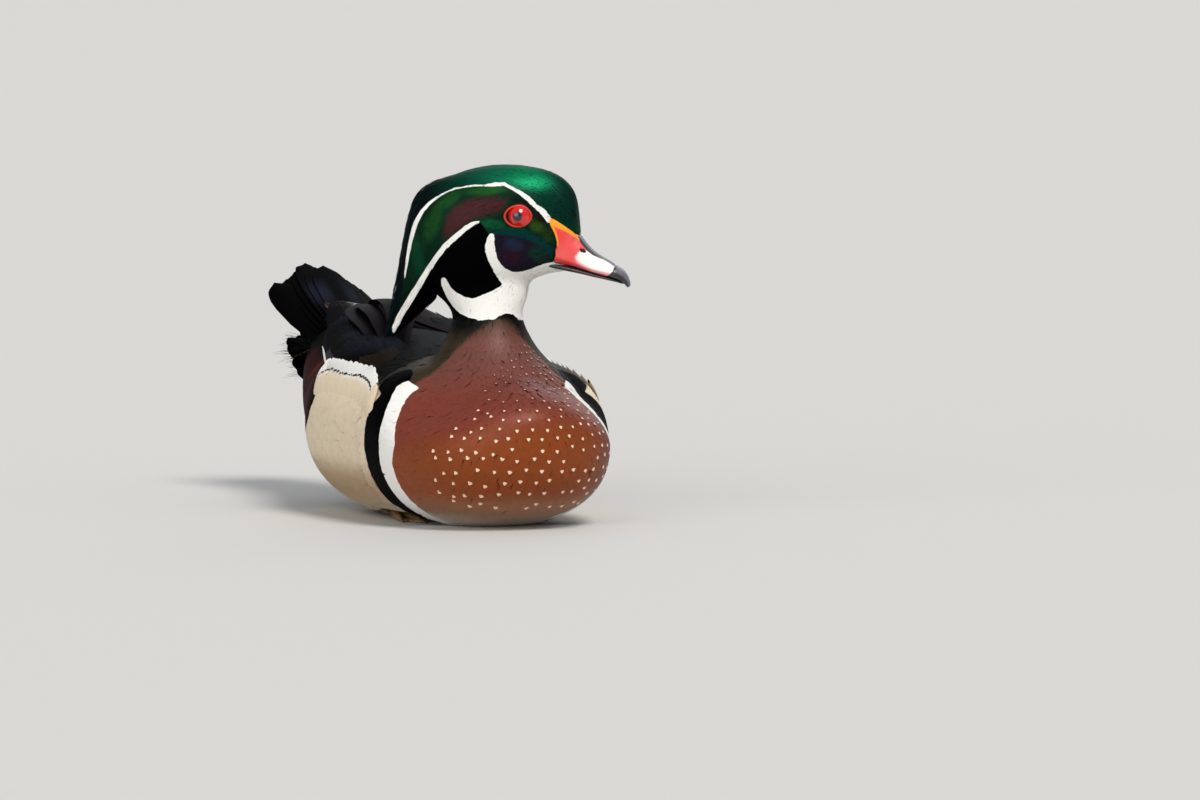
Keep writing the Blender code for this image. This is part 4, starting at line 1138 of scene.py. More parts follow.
skin = whole_form("skin", 1.5, 14)
hull = Surface(skin)
depth = mixed(0.50, 0.36, smooth_step(90, HEAD_FLOOR + 4, hull.points[:, 2]))
under = hull.points - hull.normals * depth[:, None]
local = to_head(under)
ring = np.hypot(local[:, 0] - EYE_AHEAD, local[:, 2] - EYE_UP)
ball = EYE_SIDE + np.sqrt(np.clip(EYE_RADIUS**2 - ring**2, 0, None)) - 1.4
opening = np.hypot((local[:, 0] - EYE_AHEAD) / 6.2, (local[:, 2] - EYE_UP) / 5.6)
in_socket = (np.abs(local[:, 1]) > 8) & (opening < 1) & (hull.points[:, 2] > 120)
local[:, 1] = np.where(in_socket, np.sign(local[:, 1]) * np.minimum(np.abs(local[:, 1]), ball), local[:, 1])
under = from_head(local)
bed = line_band(np.stack([under[:, 0], np.abs(under[:, 1])], -1), FOOT_BED)
lowest = mixed(0.3, 5.4, smooth_step(-0.6, 0.6, bed))
under[:, 2] = np.where(under[:, 2] < 12, np.maximum(under[:, 2], lowest), under[:, 2])
set_points(skin, under)
mark_smooth(skin, *marks_at(hull.points)[:4])
under_feathers = plumage("skin_under_feathers", vaned=False)
settle(skin, under_feathers, "buff", "torso", "neck", "head", "crest", "tail")

small_feathers = plumage(
    "small_head_feathers", barbs=1.0, relief=0.04, gloss=0.36, specular=0.15, ribbed=0.05, grain=0.16
)
breast_look = {"lean": 5.0, "gloss": 0.40, "specular": 0.55, "fade": 0.08, "ribbed": 0.05, "grain": 0.14}
breast_feathers = plumage("breast_feathers", barbs=1.0, relief=0.05, **breast_look)
spotted_feathers = plumage("spotted_feathers", barbs=1.0, relief=0.05, pale=(0.84, 0.62, 0.44), **breast_look)
side_feathers = plumage(
    "side_feathers", barbs=3.0, lean=9.0, relief=0.05, gloss=0.55, specular=0.12, bars=15.0, fade=0.03,
    ribbed=0.02, grain=0.08,
)
dark_feathers = plumage(
    "dark_feathers", barbs=46.0, lean=14.0, relief=0.05, gloss=0.46, specular=0.10, ribbed=0.04
)
silky_feathers = plumage(
    "silky_crest_feathers", barbs=1.0, lean=6.0, relief=0.05, gloss=0.34, specular=0.15, ribbed=0.06
)

roots, slopes, reach = hull.scatter(spacing_at, 11)
lies = lie_at(roots, slopes)
rng = np.random.default_rng(5)
turn = rng.normal(0, 0.05, len(roots))[:, None]
lies = unit(lies + np.cross(slopes, lies) * turn)
lengths = reach * rng.uniform(3.8, 4.7, len(roots))
bed = line_band(np.stack([roots[:, 0], np.abs(roots[:, 1])], -1), FOOT_BED)
clear_of_floor = (roots[:, 2] > 0.6) & ~((bed > -3) & (roots[:, 2] < 12))
on_head = roots[:, 2] > HEAD_FLOOR
on_breast = ~on_head & (roots[:, 0] > 26) & clear_of_floor
on_body = ~on_head & ~on_breast & clear_of_floor


def cover(
    name, chosen, shape, material, slot, nodes, unwrap, columns, root_lift, tip_lift, wrap, crown, jitter,
    width,
):
    """Small feathers whose lines rise out of the skin and then lie close along it.

    Crown and width are shares of the gap between the roots.
    """
    coat = Coat(name, material, slot, nodes, unwrap)
    shares = [share for share, _ in shape]
    stand = tip_lift + rng.normal(0, 0.010, len(roots[chosen]))
    lifts = [root_lift * (1 - share) ** 6 + stand * share for share in shares]
    line, side, out = walk(hull, roots[chosen], slopes[chosen], lies[chosen], lengths[chosen], shares, lifts)
    half = reach[chosen][:, None] * width * np.array([w for _, w in shape])
    rise = crown * reach[chosen][:, None, None]
    coat.add(line, side, out, half, rise, wrap, 0.07, marks_at, jitter, rng, columns)
    for part in coat.points:
        part[:, 2] = np.maximum(part[:, 2], LOWEST_FEATHER)
    coat.finish()


cover(
    "head_feathers", on_head, SILKY, small_feathers, "iridescent_green", ("head", "crest"), head_unwrap,
    columns=3, root_lift=-0.42, tip_lift=0.11, wrap=0.022, crown=0.03, jitter=0.08, width=0.72,
)
cover(
    "breast_feathers", on_breast, SILKY, breast_feathers, "maroon", ("neck", "torso"), body_unwrap,
    columns=3, root_lift=-0.58, tip_lift=0.12, wrap=0.011, crown=0.015, jitter=0.12, width=0.80,
)
cover(
    "body_feathers", on_body, BROAD, side_feathers, "buff", ("torso", "tail"), body_unwrap,
    columns=5, root_lift=-0.60, tip_lift=0.14, wrap=0.009, crown=0.010, jitter=0.20, width=0.82,
)


# ---------------------------------------------------------------- long feathers, one line at a time
def between(first, last, outward=(0, 0, 1)):
    """The line of a straight feather from place to place, lifted outwards."""

    def place_at(shares, lifts):
        line = mixed(np.array(first, float), np.array(last, float), shares[:, None])
        return line + lifts[:, None] * np.array(outward)

    return place_at


def strip(
    coat, place_at, half_width, shape, rise, marks, rng, columns=5, rows=12,
    sunk=1.8, crown=0.5, wrap=0.0, tip=0.10,
):
    """One long feather whose line is place_at(shares, lifts)."""
    shares = np.linspace(0, 1, rows)
    lifts = mixed(-sunk, rise, shares)
    line = place_at(shares, lifts)
    side, out = across_line(line, unit(place_at(shares, lifts + 1.0) - line))
    half = half_width * edge_of(shape, shares)
    coat.add(line[None], side[None], out[None], half[None], crown, wrap, tip, marks, 0.1, rng, columns)


FEATHER = ((0, 0.45), (0.2, 0.75), (0.5, 0.97), (0.75, 1.0), (0.9, 0.82), (0.97, 0.55), (1, 0.25))
POINTED = ((0, 0.6), (0.3, 0.9), (0.6, 1.0), (0.8, 0.75), (0.93, 0.4), (1, 0.08))
RECTRIX = (
    (0, 0.45), (0.3, 0.76), (0.6, 1.0), (0.78, 0.98), (0.86, 0.90), (0.92, 0.76), (0.96, 0.58), (0.985, 0.36),
    (1, 0.12),
)
ROUNDED = ((0, 0.45), (0.3, 0.8), (0.6, 1), (0.85, 1), (0.95, 0.8), (1, 0.5))
WISP = ((0, 0.7), (0.4, 1.0), (0.75, 0.7), (1, 0.12))

# ---------------------------------------------------------------- crest
CREST_LOCKS = 2200


def crest_marks(points, *_):
    return *head_marks(points), np.zeros(len(points))


def crest_locks():
    rng = np.random.default_rng(21)
    coat = Coat("crest_locks", silky_feathers, "black_sheen", ("crest",), head_unwrap)
    n = CREST_LOCKS
    start = rng.uniform(0.02, 0.74, n)
    reach = rng.uniform(0.20, 0.34, n)
    stop = np.minimum(start + reach, 0.975 + 0.025 * rng.random(n))
    across = rng.uniform(0.0, 1.0, n)
    drift = rng.normal(0, 0.035, n)
    side = np.where(rng.random(n) < 0.5, 1.0, -1.0)
    rows = 9
    shares = np.linspace(0, 1, rows)
    along = start[:, None] + (stop - start)[:, None] * shares
    spread = np.clip(across[:, None] + drift[:, None] * shares, 0, 1)
    top = rng.uniform(0.1, 0.7, n) + 0.9 * smooth_step(0.4, 0.9, stop)
    lift = mixed(-1.0, top[:, None], shares)
    sides = np.repeat(side[:, None], rows, 1)
    line = crest_at(sides, along, spread, lift)
    cross, out = across_line(line, unit(crest_at(sides, along, spread, lift + 1.0) - line))
    width = rng.uniform(0.7, 1.15, n)[:, None] * mixed(1.0, 0.55, smooth_step(0.45, 0.95, along))
    half = width * edge_of(LOCK, shares)
    coat.add(line, cross, out, half, 0.16, 0.03, 0.02, crest_marks, 0.08, rng)
    coat.finish()


crest_locks()


# ---------------------------------------------------------------- wings
def wing_at(side, along, across, lift=0.0):
    """Places on a wing's outer face: along it, across it from the back to the lower edge, and off it."""
    along, across, lift = np.broadcast_arrays(*(np.asarray(v, float) for v in (along, across, lift)))
    x, y, z, half_across, half_thick = np.moveaxis(rows_at(WING, along), -1, 0)
    ahead = unit((rows_at(WING, along + 0.01) - rows_at(WING, along - 0.01))[..., :3])
    ahead = ahead * np.array([1, side, 1])
    down = np.stack([np.zeros(along.shape), np.full(along.shape, float(side)), -mixed(*WING_LEAN, along)], -1)
    down = unit(down - ahead * dot(ahead, down))
    out = np.cross(ahead, down)
    out = np.where(out[..., 2:] < 0, -out, out)
    reach = across * half_across
    face = half_thick * np.sqrt(np.clip(1 - across**2, 0, None)) - reach**2 / (2 * WING_BEND)
    lean = unit(out + down * (0.75 * across)[..., None])
    middle = np.stack([x, side * y, z], -1)
    return middle + down * reach[..., None] + out * face[..., None] + lean * lift[..., None]


def wing_pad_rings(side, count=44, sides=32):
    rings = []
    angle = np.arange(sides) * 2 * math.pi / sides
    across = np.cos(angle)
    for along in np.linspace(0, 1, count):
        half_thick = rows_at(WING, along)[4]
        face = wing_at(side, along, across)
        edge = wing_at(side, along, across, 1.0) - face
        middle = wing_at(side, along, 0.0, 1.0) - wing_at(side, along, 0.0)
        thick = half_thick * np.sqrt(np.clip(1 - across**2, 0, None))
        under = face - unit(edge + middle) * 2 * thick[:, None]
        rings.append(np.where((np.sin(angle) < 0)[:, None], under, face))
    return rings


SLATE, BRONZE, INK = (0.0034, 0.0036, 0.0055), (0.0055, 0.0040, 0.0032), (0.0013, 0.0013, 0.0016)
PLUM, DUSK, OLIVE_BACK = (0.0050, 0.0028, 0.0080), (0.0125, 0.0090, 0.0092), (0.030, 0.021, 0.012)
# Start and end along the wing, first and last across it, how many, how far each starts behind the one before,
# half width, rise of the tips, and colour.
WING_TIERS = {
    "shoulder": (0.02, 0.20, -0.7, 0.8, 10, 0.0, 4.2, 0.9, OLIVE_BACK),
    "front_scapulars": (0.08, 0.30, -0.8, 0.8, 10, 0.0, 5.0, 1.1, BRONZE),
    "middle_scapulars": (0.18, 0.42, -0.8, 0.75, 10, 0.0, 5.2, 1.2, SLATE),
    "rear_scapulars": (0.28, 0.56, -0.8, 0.6, 9, 0.0, 5.0, 1.3, INK),
    "greater_coverts": (0.42, 0.66, 0.05, 0.8, 6, 0.0, 4.2, 1.2, PLUM),
    "secondaries": (0.52, 0.78, 0.0, 0.85, 8, 0.01, 3.4, 1.2, SLATE),
    "primaries": (0.58, 0.86, -0.10, 0.40, 4, 0.04, 3.0, 1.0, INK),
    "tertials": (0.27, 0.69, -0.80, -0.34, 3, 0.028, 9.6, 1.6, DUSK),
}
TERTIAL_ARCH = {1: (0.4, 0.3, 0.2), -1: (13.5, 9.0, 4.5)}  # how high each stands in its middle
DOWN_REACH = (0.03, 0.93)  # where along the raised tertials the down under them begins and ends
# Painted blue sheen, a highlight laid on the dark wing feathers:
BLUE_SHEENS = [  # ahead and up on the wings, reach, turn
    ((-24, 86), (38, 6.5), 2),
    ((-62, 89), (16, 5), 10),
    ((-96, 95), (16, 4), 10),
]


def wing_marks(colour, tier):
    def marks(points, across, down):
        off = np.abs(across - 0.5) * 2
        flat = points[:, [0, 2]]
        tint = all_one(points, colour)
        # Painted blue sheen on the middles of the vanes, left off the tertials.
        sheen = sum(patch(flat, middle, reach, turn) for middle, reach, turn in BLUE_SHEENS)
        if tier != "tertials":
            tint = lay(tint, (0.016, 0.022, 0.036), 0.8 * sheen * smooth_step(0.95, 0.35, off))
        tint = lay(tint, INK, 0.8 * smooth_step(0.35, 0.0, down))
        x, _, z = points.T
        tint = lay(tint, OLIVE_BACK, 0.8 * smooth_step(-10, 12, x) * smooth_step(86, 78, z))
        zero = np.zeros(len(points))
        white = zero + NO_MARK
        if tier == "tertials":
            tint = lay(tint, (0.034, 0.028, 0.036), 0.6 * smooth_step(0.3, 0.9, off))
            white = 20.0 * (down - 1.0 + 0.060 - 0.045 * (1 - off) ** 2)
        elif tier == "loose":
            tint = lay(tint, (0.026, 0.013, 0.009), smooth_step(0.1, 0.5, down))
            tint = lay(tint, (0.24, 0.15, 0.11), smooth_step(0.70, 0.86, off) * smooth_step(0.35, 0.6, down))
        elif tier == "primaries":
            tint = lay(tint, (0.008, 0.005, 0.004), smooth_step(0.2, 0.6, down))
            tint = lay(tint, (0.20, 0.13, 0.10), smooth_step(0.72, 0.88, off) * smooth_step(0.70, 0.85, down))
        elif tier == "secondaries":
            white = np.where(z < 88, 16.0 * (down - 1.0 + 0.030), NO_MARK)
        return tint, zero + 0.75, white, zero + NO_MARK, zero

    return marks


def tertial_down():
    """The closed form that fills the hollow under the right wing's raised tertials."""
    start, stop, highest = WING_TIERS["tertials"][:3]
    sides = 24
    angle = np.arange(sides) * 2 * math.pi / sides
    rings = []
    for share in np.linspace(*DOWN_REACH, 30):
        high = max(TERTIAL_ARCH[-1][0] * math.sin(math.pi * share**0.9) + mixed(-1.8, 1.6, share), 0.2)
        along = np.full(sides, mixed(start, stop, share))
        across = highest * (1 - 0.12 * share) + 0.28 * math.sin(math.pi * share) ** 0.5 * np.cos(angle)
        lift = high * np.clip(np.sin(angle), 0, 1) ** 0.5 - 0.8 * np.clip(-np.sin(angle), 0, 1)
        rings.append(wing_at(-1, along, np.clip(across, -0.97, 1), lift))
    down = loft("tertial_down", rings)
    mark_smooth(down, DUSK, 0.75)
    settle(down, under_feathers, "bronze_black", "wing_right")


def wing(side, name):
    """A wing's smooth pad, which is returned, and its feathers."""
    rng = np.random.default_rng(31 + side)
    pad = loft(name + "_pad", wing_pad_rings(side))
    mark_smooth(pad, INK, 0.1)
    settle(pad, under_feathers, "bronze_black", name)
    coat = Coat(name + "_feathers", dark_feathers, "bronze_black", (name,))
    for tier, (start, stop, first, last, count, stagger, half_width, rise, colour) in WING_TIERS.items():
        shape = POINTED if tier == "primaries" else FEATHER
        if tier == "tertials" and side > 0:
            half_width = 6.0
        for i in range(count):
            across = mixed(first, last, i / (count - 1))
            ragged = rng.normal(0, 0.008)
            shift = rng.normal(0, 0.015)

            def place_at(shares, lifts):
                along = mixed(start, stop + ragged, shares) + stagger * i
                if tier == "tertials":
                    lifts = lifts + TERTIAL_ARCH[side][i] * np.sin(np.pi * np.clip(shares, 0, 1) ** 0.9)
                return wing_at(side, along, across * (1 - 0.12 * shares) + shift * shares, lifts)

            width = half_width * rng.uniform(0.95, 1.08)
            top = rise + rng.normal(0, 0.12)
            marks = wing_marks(colour, tier)
            strip(coat, place_at, width, shape, top, marks, rng, 7, 16, crown=0.55, wrap=0.010, tip=0.08)
    if side < 0:
        tertial_down()
        loose = between((-112, -15.5, 90), (-163, -13.5, 98.5))
        marks = wing_marks(BRONZE, "loose")
        strip(coat, loose, 3.4, POINTED, 0.3, marks, rng, 7, 16, sunk=0.3, crown=0.5, tip=0.04)
    coat.finish()
    return pad


pads = [wing(1, "wing_left"), wing(-1, "wing_right")]


# ---------------------------------------------------------------- tail
tail_turn = Matrix.Rotation(TAIL_COCK, 3, "Y") @ Matrix.Rotation(-TAIL_TILT, 3, "X")
lean = np.array(tail_turn @ Matrix.Diagonal((-1, 1, 1)))
TAIL_HALF_WIDTH, COVERT_HALF_WIDTH = 10.5, 5.0
DOME = (0, 5.5, 3.0, 0.6, 0, 0, 0)  # how much further each feather of the right half reaches
# Pairs, reach, gap between feathers, height of the innermost ones, and how much lower the next ones are.
TAIL_COVERTS = [
    (5, 42, 3.4, 3.2, 1.2),
    (7, 56, 4.2, -11.0, 1.6),
    (6, 46, 4.6, -14.5, 1.8),
    (5, 36, 5.0, -18.0, 2.0),
]
UNDERTAIL_WISPS = 1700


def from_tail(points):
    return np.asarray(points, float) @ lean.T + np.array(TAIL_ROOT)


def tail_marks(points, across, down):
    off = np.abs(across - 0.5) * 2
    tint = all_one(points, INK)
    # Painted blue sheen, a highlight laid on the upper tail feathers away from their shafts.
    blue_sheen = patch(points[:, [0, 2]], (-182, 103), (20, 8), -25) * (points[:, 1] > -14)
    tint = lay(tint, (0.020, 0.024, 0.040), blue_sheen * smooth_step(0.15, 0.7, off))
    tint = lay(tint, (0.006, 0.005, 0.0045), 0.7 * smooth_step(0.86, 1.0, down))
    zero = np.zeros(len(points))
    return tint, zero + 0.75, zero + NO_MARK, zero + NO_MARK, zero


def wisp_marks(points, *_):
    zero = np.zeros(len(points))
    return all_one(points, (0.30, 0.17, 0.055)), zero, zero + NO_MARK, zero + NO_MARK, zero


def straight(coat, left, level, roll, reach, half_width, spread, inner, shape, start, rng):
    """One tail feather, rolled about its length; it keeps clear of the other side's inner ones."""
    rows = 20
    shares = 1 - (1 - np.linspace(0, 1, rows)) ** 2
    here = left * mixed(TAIL_ROOT_SPREAD, 1.0, shares) + spread * shares**2
    half = half_width * edge_of(shape, shares)
    low, high = here - half, here + half
    if inner is not None:
        low, high = (np.maximum(low, inner), high) if left > 0 else (low, np.minimum(high, -inner))
    middle, half = (low + high) / 2, np.maximum((high - low) / 2, 0.5)
    tilt = -(middle - here) * math.tan(roll)
    line = from_tail(np.stack([mixed(start, reach, shares), middle, level + tilt], -1))
    out = np.tile(lean @ np.array([0, math.sin(roll), math.cos(roll)]), (rows, 1))
    side, out = across_line(line, out)
    coat.add(line[None], side[None], out[None], half[None], 0.35, 0.006, 0.015, tail_marks, 0.1, rng, 9)


def tail():
    rng = np.random.default_rng(41)
    coat = Coat("tail_feathers", dark_feathers, "bronze_black", ("tail",))
    for pair in range(TAIL_PAIRS):
        shorter = 1 - 0.105 * (pair / (TAIL_PAIRS - 1)) ** 2
        inner = None if pair == 0 else 0.35
        for side in (1, -1):
            level = -0.8 * TAIL_DROP * pair + (1.2 if (pair, side) == (0, 1) else 0.0)
            loose = 4.0 if (pair, side) == (TAIL_PAIRS - 1, -1) else 0.0
            left, roll = side * (2.2 + TAIL_STEP * pair), side * TAIL_ROLL * pair
            reach = TAIL_LENGTH * shorter + (DOME[pair] if side < 0 else 0.0)
            straight(coat, left, level, roll, reach, TAIL_HALF_WIDTH, side * loose, inner, RECTRIX, -4, rng)
    for pairs, longest, step, height, drop in TAIL_COVERTS:
        for i in range(pairs):
            for side in (1, -1):
                left = side * (0.4 + COVERT_HALF_WIDTH * 0.6 + step * i)
                level, roll = height - drop * i, side * TAIL_ROLL * (1.5 * i + 0.5)
                reach, spread = longest - 2.2 * i + rng.normal(0, 1.0), rng.normal(0, 1.0)
                straight(coat, left, level, roll, reach, COVERT_HALF_WIDTH, spread, 0.2, FEATHER, 6, rng)
    for i in range(UNDERTAIL_WISPS):
        root = np.array([rng.uniform(6, 30), rng.uniform(-25, 25), rng.uniform(-20, -9)])
        way = np.array([0.75, 0.022 * root[1] + rng.normal(0, 0.18), rng.normal(-0.12, 0.24)])
        length = rng.uniform(9, 16)

        def place_at(shares, lifts):
            line = root + way * (length * shares)[:, None]
            line[:, 2] += lifts - 3.0 * shares**2
            return from_tail(line)

        width = rng.uniform(0.15, 0.42)
        strip(coat, place_at, width, WISP, 0.0, tail_marks, rng, 3, 6, sunk=0.4, crown=0.06, tip=0.02)
    loose = between((-147, -26.5, 76), (-163, -32, 69.5))
    strip(coat, loose, 0.8, WISP, 0.3, wisp_marks, rng, 3, 8, sunk=0.3, crown=0.15, tip=0.02)
    coat.finish()


tail()

# ---------------------------------------------------------------- side feathers with white tips
outer_points, outer_faces = [hull.points], hull.faces.tolist()
start = len(hull.points)
for pad in pads:
    outer_points.append(points_of(pad))
    outer_faces += [[v + start for v in p.vertices] for p in pad.data.polygons]
    start += len(outer_points[-1])
outer = BVHTree.FromPolygons(np.concatenate(outer_points).tolist(), outer_faces)
FLANK_COUNT = 17
TIPS_LEAD = 8.0  # how far the left side's tips lie ahead of the right side's
TIP_LINE = [
    (-62, 66), (-59.2, 71), (-55, 73.6), (-45.9, 75.2), (-32.8, 75.4), (-15.6, 74.8), (1.6, 73.4),
    (9, 72.2), (15.2, 70.8), (20, 69.2), (26, 66.8), (34.5, 62),
]
DARK_LINE = [
    (-64, 60), (-58, 67.5), (-52.4, 70.7), (-49.2, 71.9), (-41.6, 72.9), (-28.4, 72.4), (-15.6, 71.6),
    (-4.3, 72), (6.6, 71.3), (13, 70.3), (18, 69), (24, 66.8), (30, 63),
]


def flank_marks(points, across, down):
    """White tips over one thin dark line, scalloped from feather to feather."""
    x, y, z = points.T
    x = x - np.where(y > 0, TIPS_LEAD, 0.0)
    off = np.abs(across - 0.5) * 2
    tint = all_one(points, BUFF)
    scallop = 0.9 * off**2 - 0.35 + 0.30 * np.sin(across * 41) * np.sin(across * 17 + x)
    over = z + scallop - edge_of(DARK_LINE, x)
    front = smooth_step(27, 23, x)
    black = np.where(front > 0, 0.55 * front - np.abs(over), NO_MARK)
    white = np.where(front > 0, over - 0.5 + 3 * (front - 1), NO_MARK)
    tint = lay(tint, (0.88, 0.84, 0.74), front * smooth_step(-3.2, -0.6, over))
    black = np.maximum(black, 30 * (down - 0.985) + 0.4 * np.sin(across * 37))
    zero = np.zeros(len(points))
    return tint, zero, white, black, zero + 0.04


def white_edge_marks(points, *_):
    zero = np.zeros(len(points))
    return all_one(points, BUFF), zero, zero + 3.0, zero + NO_MARK, zero


def flank_tips():
    rng = np.random.default_rng(51)
    coat = Coat("side_tips", side_feathers, "buff", ("torso",))
    for side in (1, -1):
        lead = TIPS_LEAD if side > 0 else 0.0
        for i in range(FLANK_COUNT):
            share_back = i / (FLANK_COUNT - 1)
            tip_x = mixed(26, -56, share_back) + lead
            sweep = mixed(3.0, 17.0, smooth_step(0, 0.4, share_back))
            tip_z = edge_of(TIP_LINE, tip_x - lead) + rng.normal(0, 0.25)

            def place_at(shares, lifts):
                found = []
                for share, lift in zip(shares, lifts):
                    x = tip_x + sweep * (1 - share)
                    z = mixed(tip_z - 26, tip_z, share)
                    outside = Vector((x, side * 75, z + 1.5))
                    spot, normal, _, _ = outer.ray_cast(outside, Vector((0, -side, 0)))
                    height = lift - np.interp(share, (0, 0.5, 0.8, 1), (0, 0.5, 0.3, 0))
                    found.append(np.array(spot) + np.array(normal) * height)
                return np.array(found)

            width = 5.6 * rng.uniform(0.95, 1.05)
            strip(
                coat, place_at, width, ROUNDED, 2.7, flank_marks, rng, 13, 34, crown=0.4, wrap=0.009, tip=0.05
            )
    back_edge = between((-55, -52.5, 68), (-60.5, -49, 83), (0.0, -1.0, 0.2))
    strip(coat, back_edge, 1.1, ROUNDED, 2.6, white_edge_marks, rng, 5, 10, crown=0.2)
    coat.finish()


flank_tips()


# ---------------------------------------------------------------- breast spots
# Height, first and last turn round the breast, gap along the row, half width, drop to the next row.
SPOT_ROWS = [
    (90, 32, 50, 3.4, 0.40, 3.2),
    (80, -17, 48, 3.7, 0.52, 3.4),
    (70, -22, 46, 4.6, 0.66, 3.9),
    (60, -28, 45, 5.6, 0.85, 4.4),
    (50, -40, 48, 6.8, 1.05, 5.0),
    (40, -50, 50, 7.8, 1.22, 5.6),
    (22, -50, 50, 8.4, 1.45, 6.2),
    (8, -44, 44, 9.0, 1.6, 6.8),
]
SPOT_HALF_WIDTH, SPOT_LENGTH = 2.6, 8.0  # of the feather that bears a spot


def spot_marks(size):
    def marks(points, across, down):
        tint, shine, white, *rest = marks_at(points)
        dx = (across - 0.5) * 2 * SPOT_HALF_WIDTH
        dz = (down - 0.80) * SPOT_LENGTH
        drop = size * (1 + 0.22 * dz / size * (np.abs(dz) < 3)) - np.hypot(dx, dz * 0.78)
        return tint, shine, np.maximum(drop, white), *rest

    return marks


def breast_spots():
    rng = np.random.default_rng(61)
    coat = Coat("breast_spots", spotted_feathers, "maroon", ("torso", "neck"))
    shares = np.array([0, 0.3, 0.5, 0.62, 0.70, 0.77, 0.84, 0.91, 1.0])
    lifts = mixed(-1.1, 0.30, shares)
    half = SPOT_HALF_WIDTH * np.array([[0.5, 0.8, 0.95, 1, 1, 0.95, 0.88, 0.7, 0.4]])
    table = np.array(SPOT_ROWS, float)[::-1].T
    row, level = 0, 90.0
    while level > 9:
        first, last, gap, size, fall = (np.interp(level, table[0], column) for column in table[1:])
        radius = mixed(26, 62, smooth_step(88, 40, level))
        step = math.degrees(gap / radius)
        for i in range(int((last - first) / step) + 1):
            turn = first + (i + 0.5 * (row % 2)) * step + rng.normal(0, 0.13 * step)
            if turn > last or rng.random() < 0.07:
                continue
            way = np.array([math.cos(math.radians(turn)), math.sin(math.radians(turn)), 0])
            start = np.array([44, 0, level + rng.normal(0, 0.16 * fall)]) + way * 120
            spot, normal, face, _ = hull.tree.ray_cast(start.tolist(), (-way).tolist())
            if spot is None:
                continue
            spot, slope = np.array(spot)[None], hull.face_normals[face][None]
            way = lie_at(spot, slope)
            root, slope = hull.nearest(spot - way * 6.0)
            way = unit(way - slope * dot(way, slope))
            line, side, out = walk(hull, root, slope, way, np.array([SPOT_LENGTH]), shares, lifts)
            marks = spot_marks(size * rng.uniform(0.80, 1.15))
            coat.add(line, side, out, half, 0.10, 0.011, 0.12, marks, 0.0, rng, 9)
        level -= fall
        row += 1
    coat.finish()


breast_spots()


# ---------------------------------------------------------------- bill
# Marks of the upper bill, (ahead, up) or (ahead, up, half width).
PALE_PATCH = [
    (30.5, -18.8), (34.8, -18.6), (37.3, -19.6), (40.9, -21.7), (44.5, -22.7), (47.9, -25.1),
    (47.2, -28.3), (45.9, -29.2), (41.6, -28.4), (37.3, -27.3), (33.7, -25.6), (30.5, -23.4),
    (29.2, -21.3),
]
BLACK_TIP = [
    (47.9, -20), (47.9, -25.1), (47.2, -28.3), (45.5, -30), (43.5, -31), (40.5, -34), (70, -50), (70, -20),
]
RIM_TOP = [(16.6, -2.2, 2.3), (20, -4.4, 2.1), (26, -8.3, 1.2), (30, -11.8, 0.9)]
RIM_SIDE = [
    (16.4, -2, 1.3), (16.6, -5, 1.1), (18.8, -9.5, 0.9), (19.9, -13.3, 0.7), (20.1, -16, 0.3),
    (20, -17.5, -0.6),
]


def head_width(ahead, up):
    """Half width of the feathered head at places seen from the side."""
    rows = rows_at(HEAD, np.linspace(0, 1, 400))[::-1]
    half, top, bottom, widest = (np.interp(ahead, rows[:, 0], rows[:, k]) for k in (1, 2, 3, 4))
    reach = np.where(up > widest, top - widest, widest - bottom)
    share = np.clip(np.abs(up - widest) / np.maximum(reach, 0.1), 0, 1)
    return half * (1 - share**HEAD_POWER) ** (1 / HEAD_POWER)


def mouth_line(ahead):
    rows = np.array(UPPER_BILL)
    return np.interp(ahead, rows[:, 0], rows[:, 3])


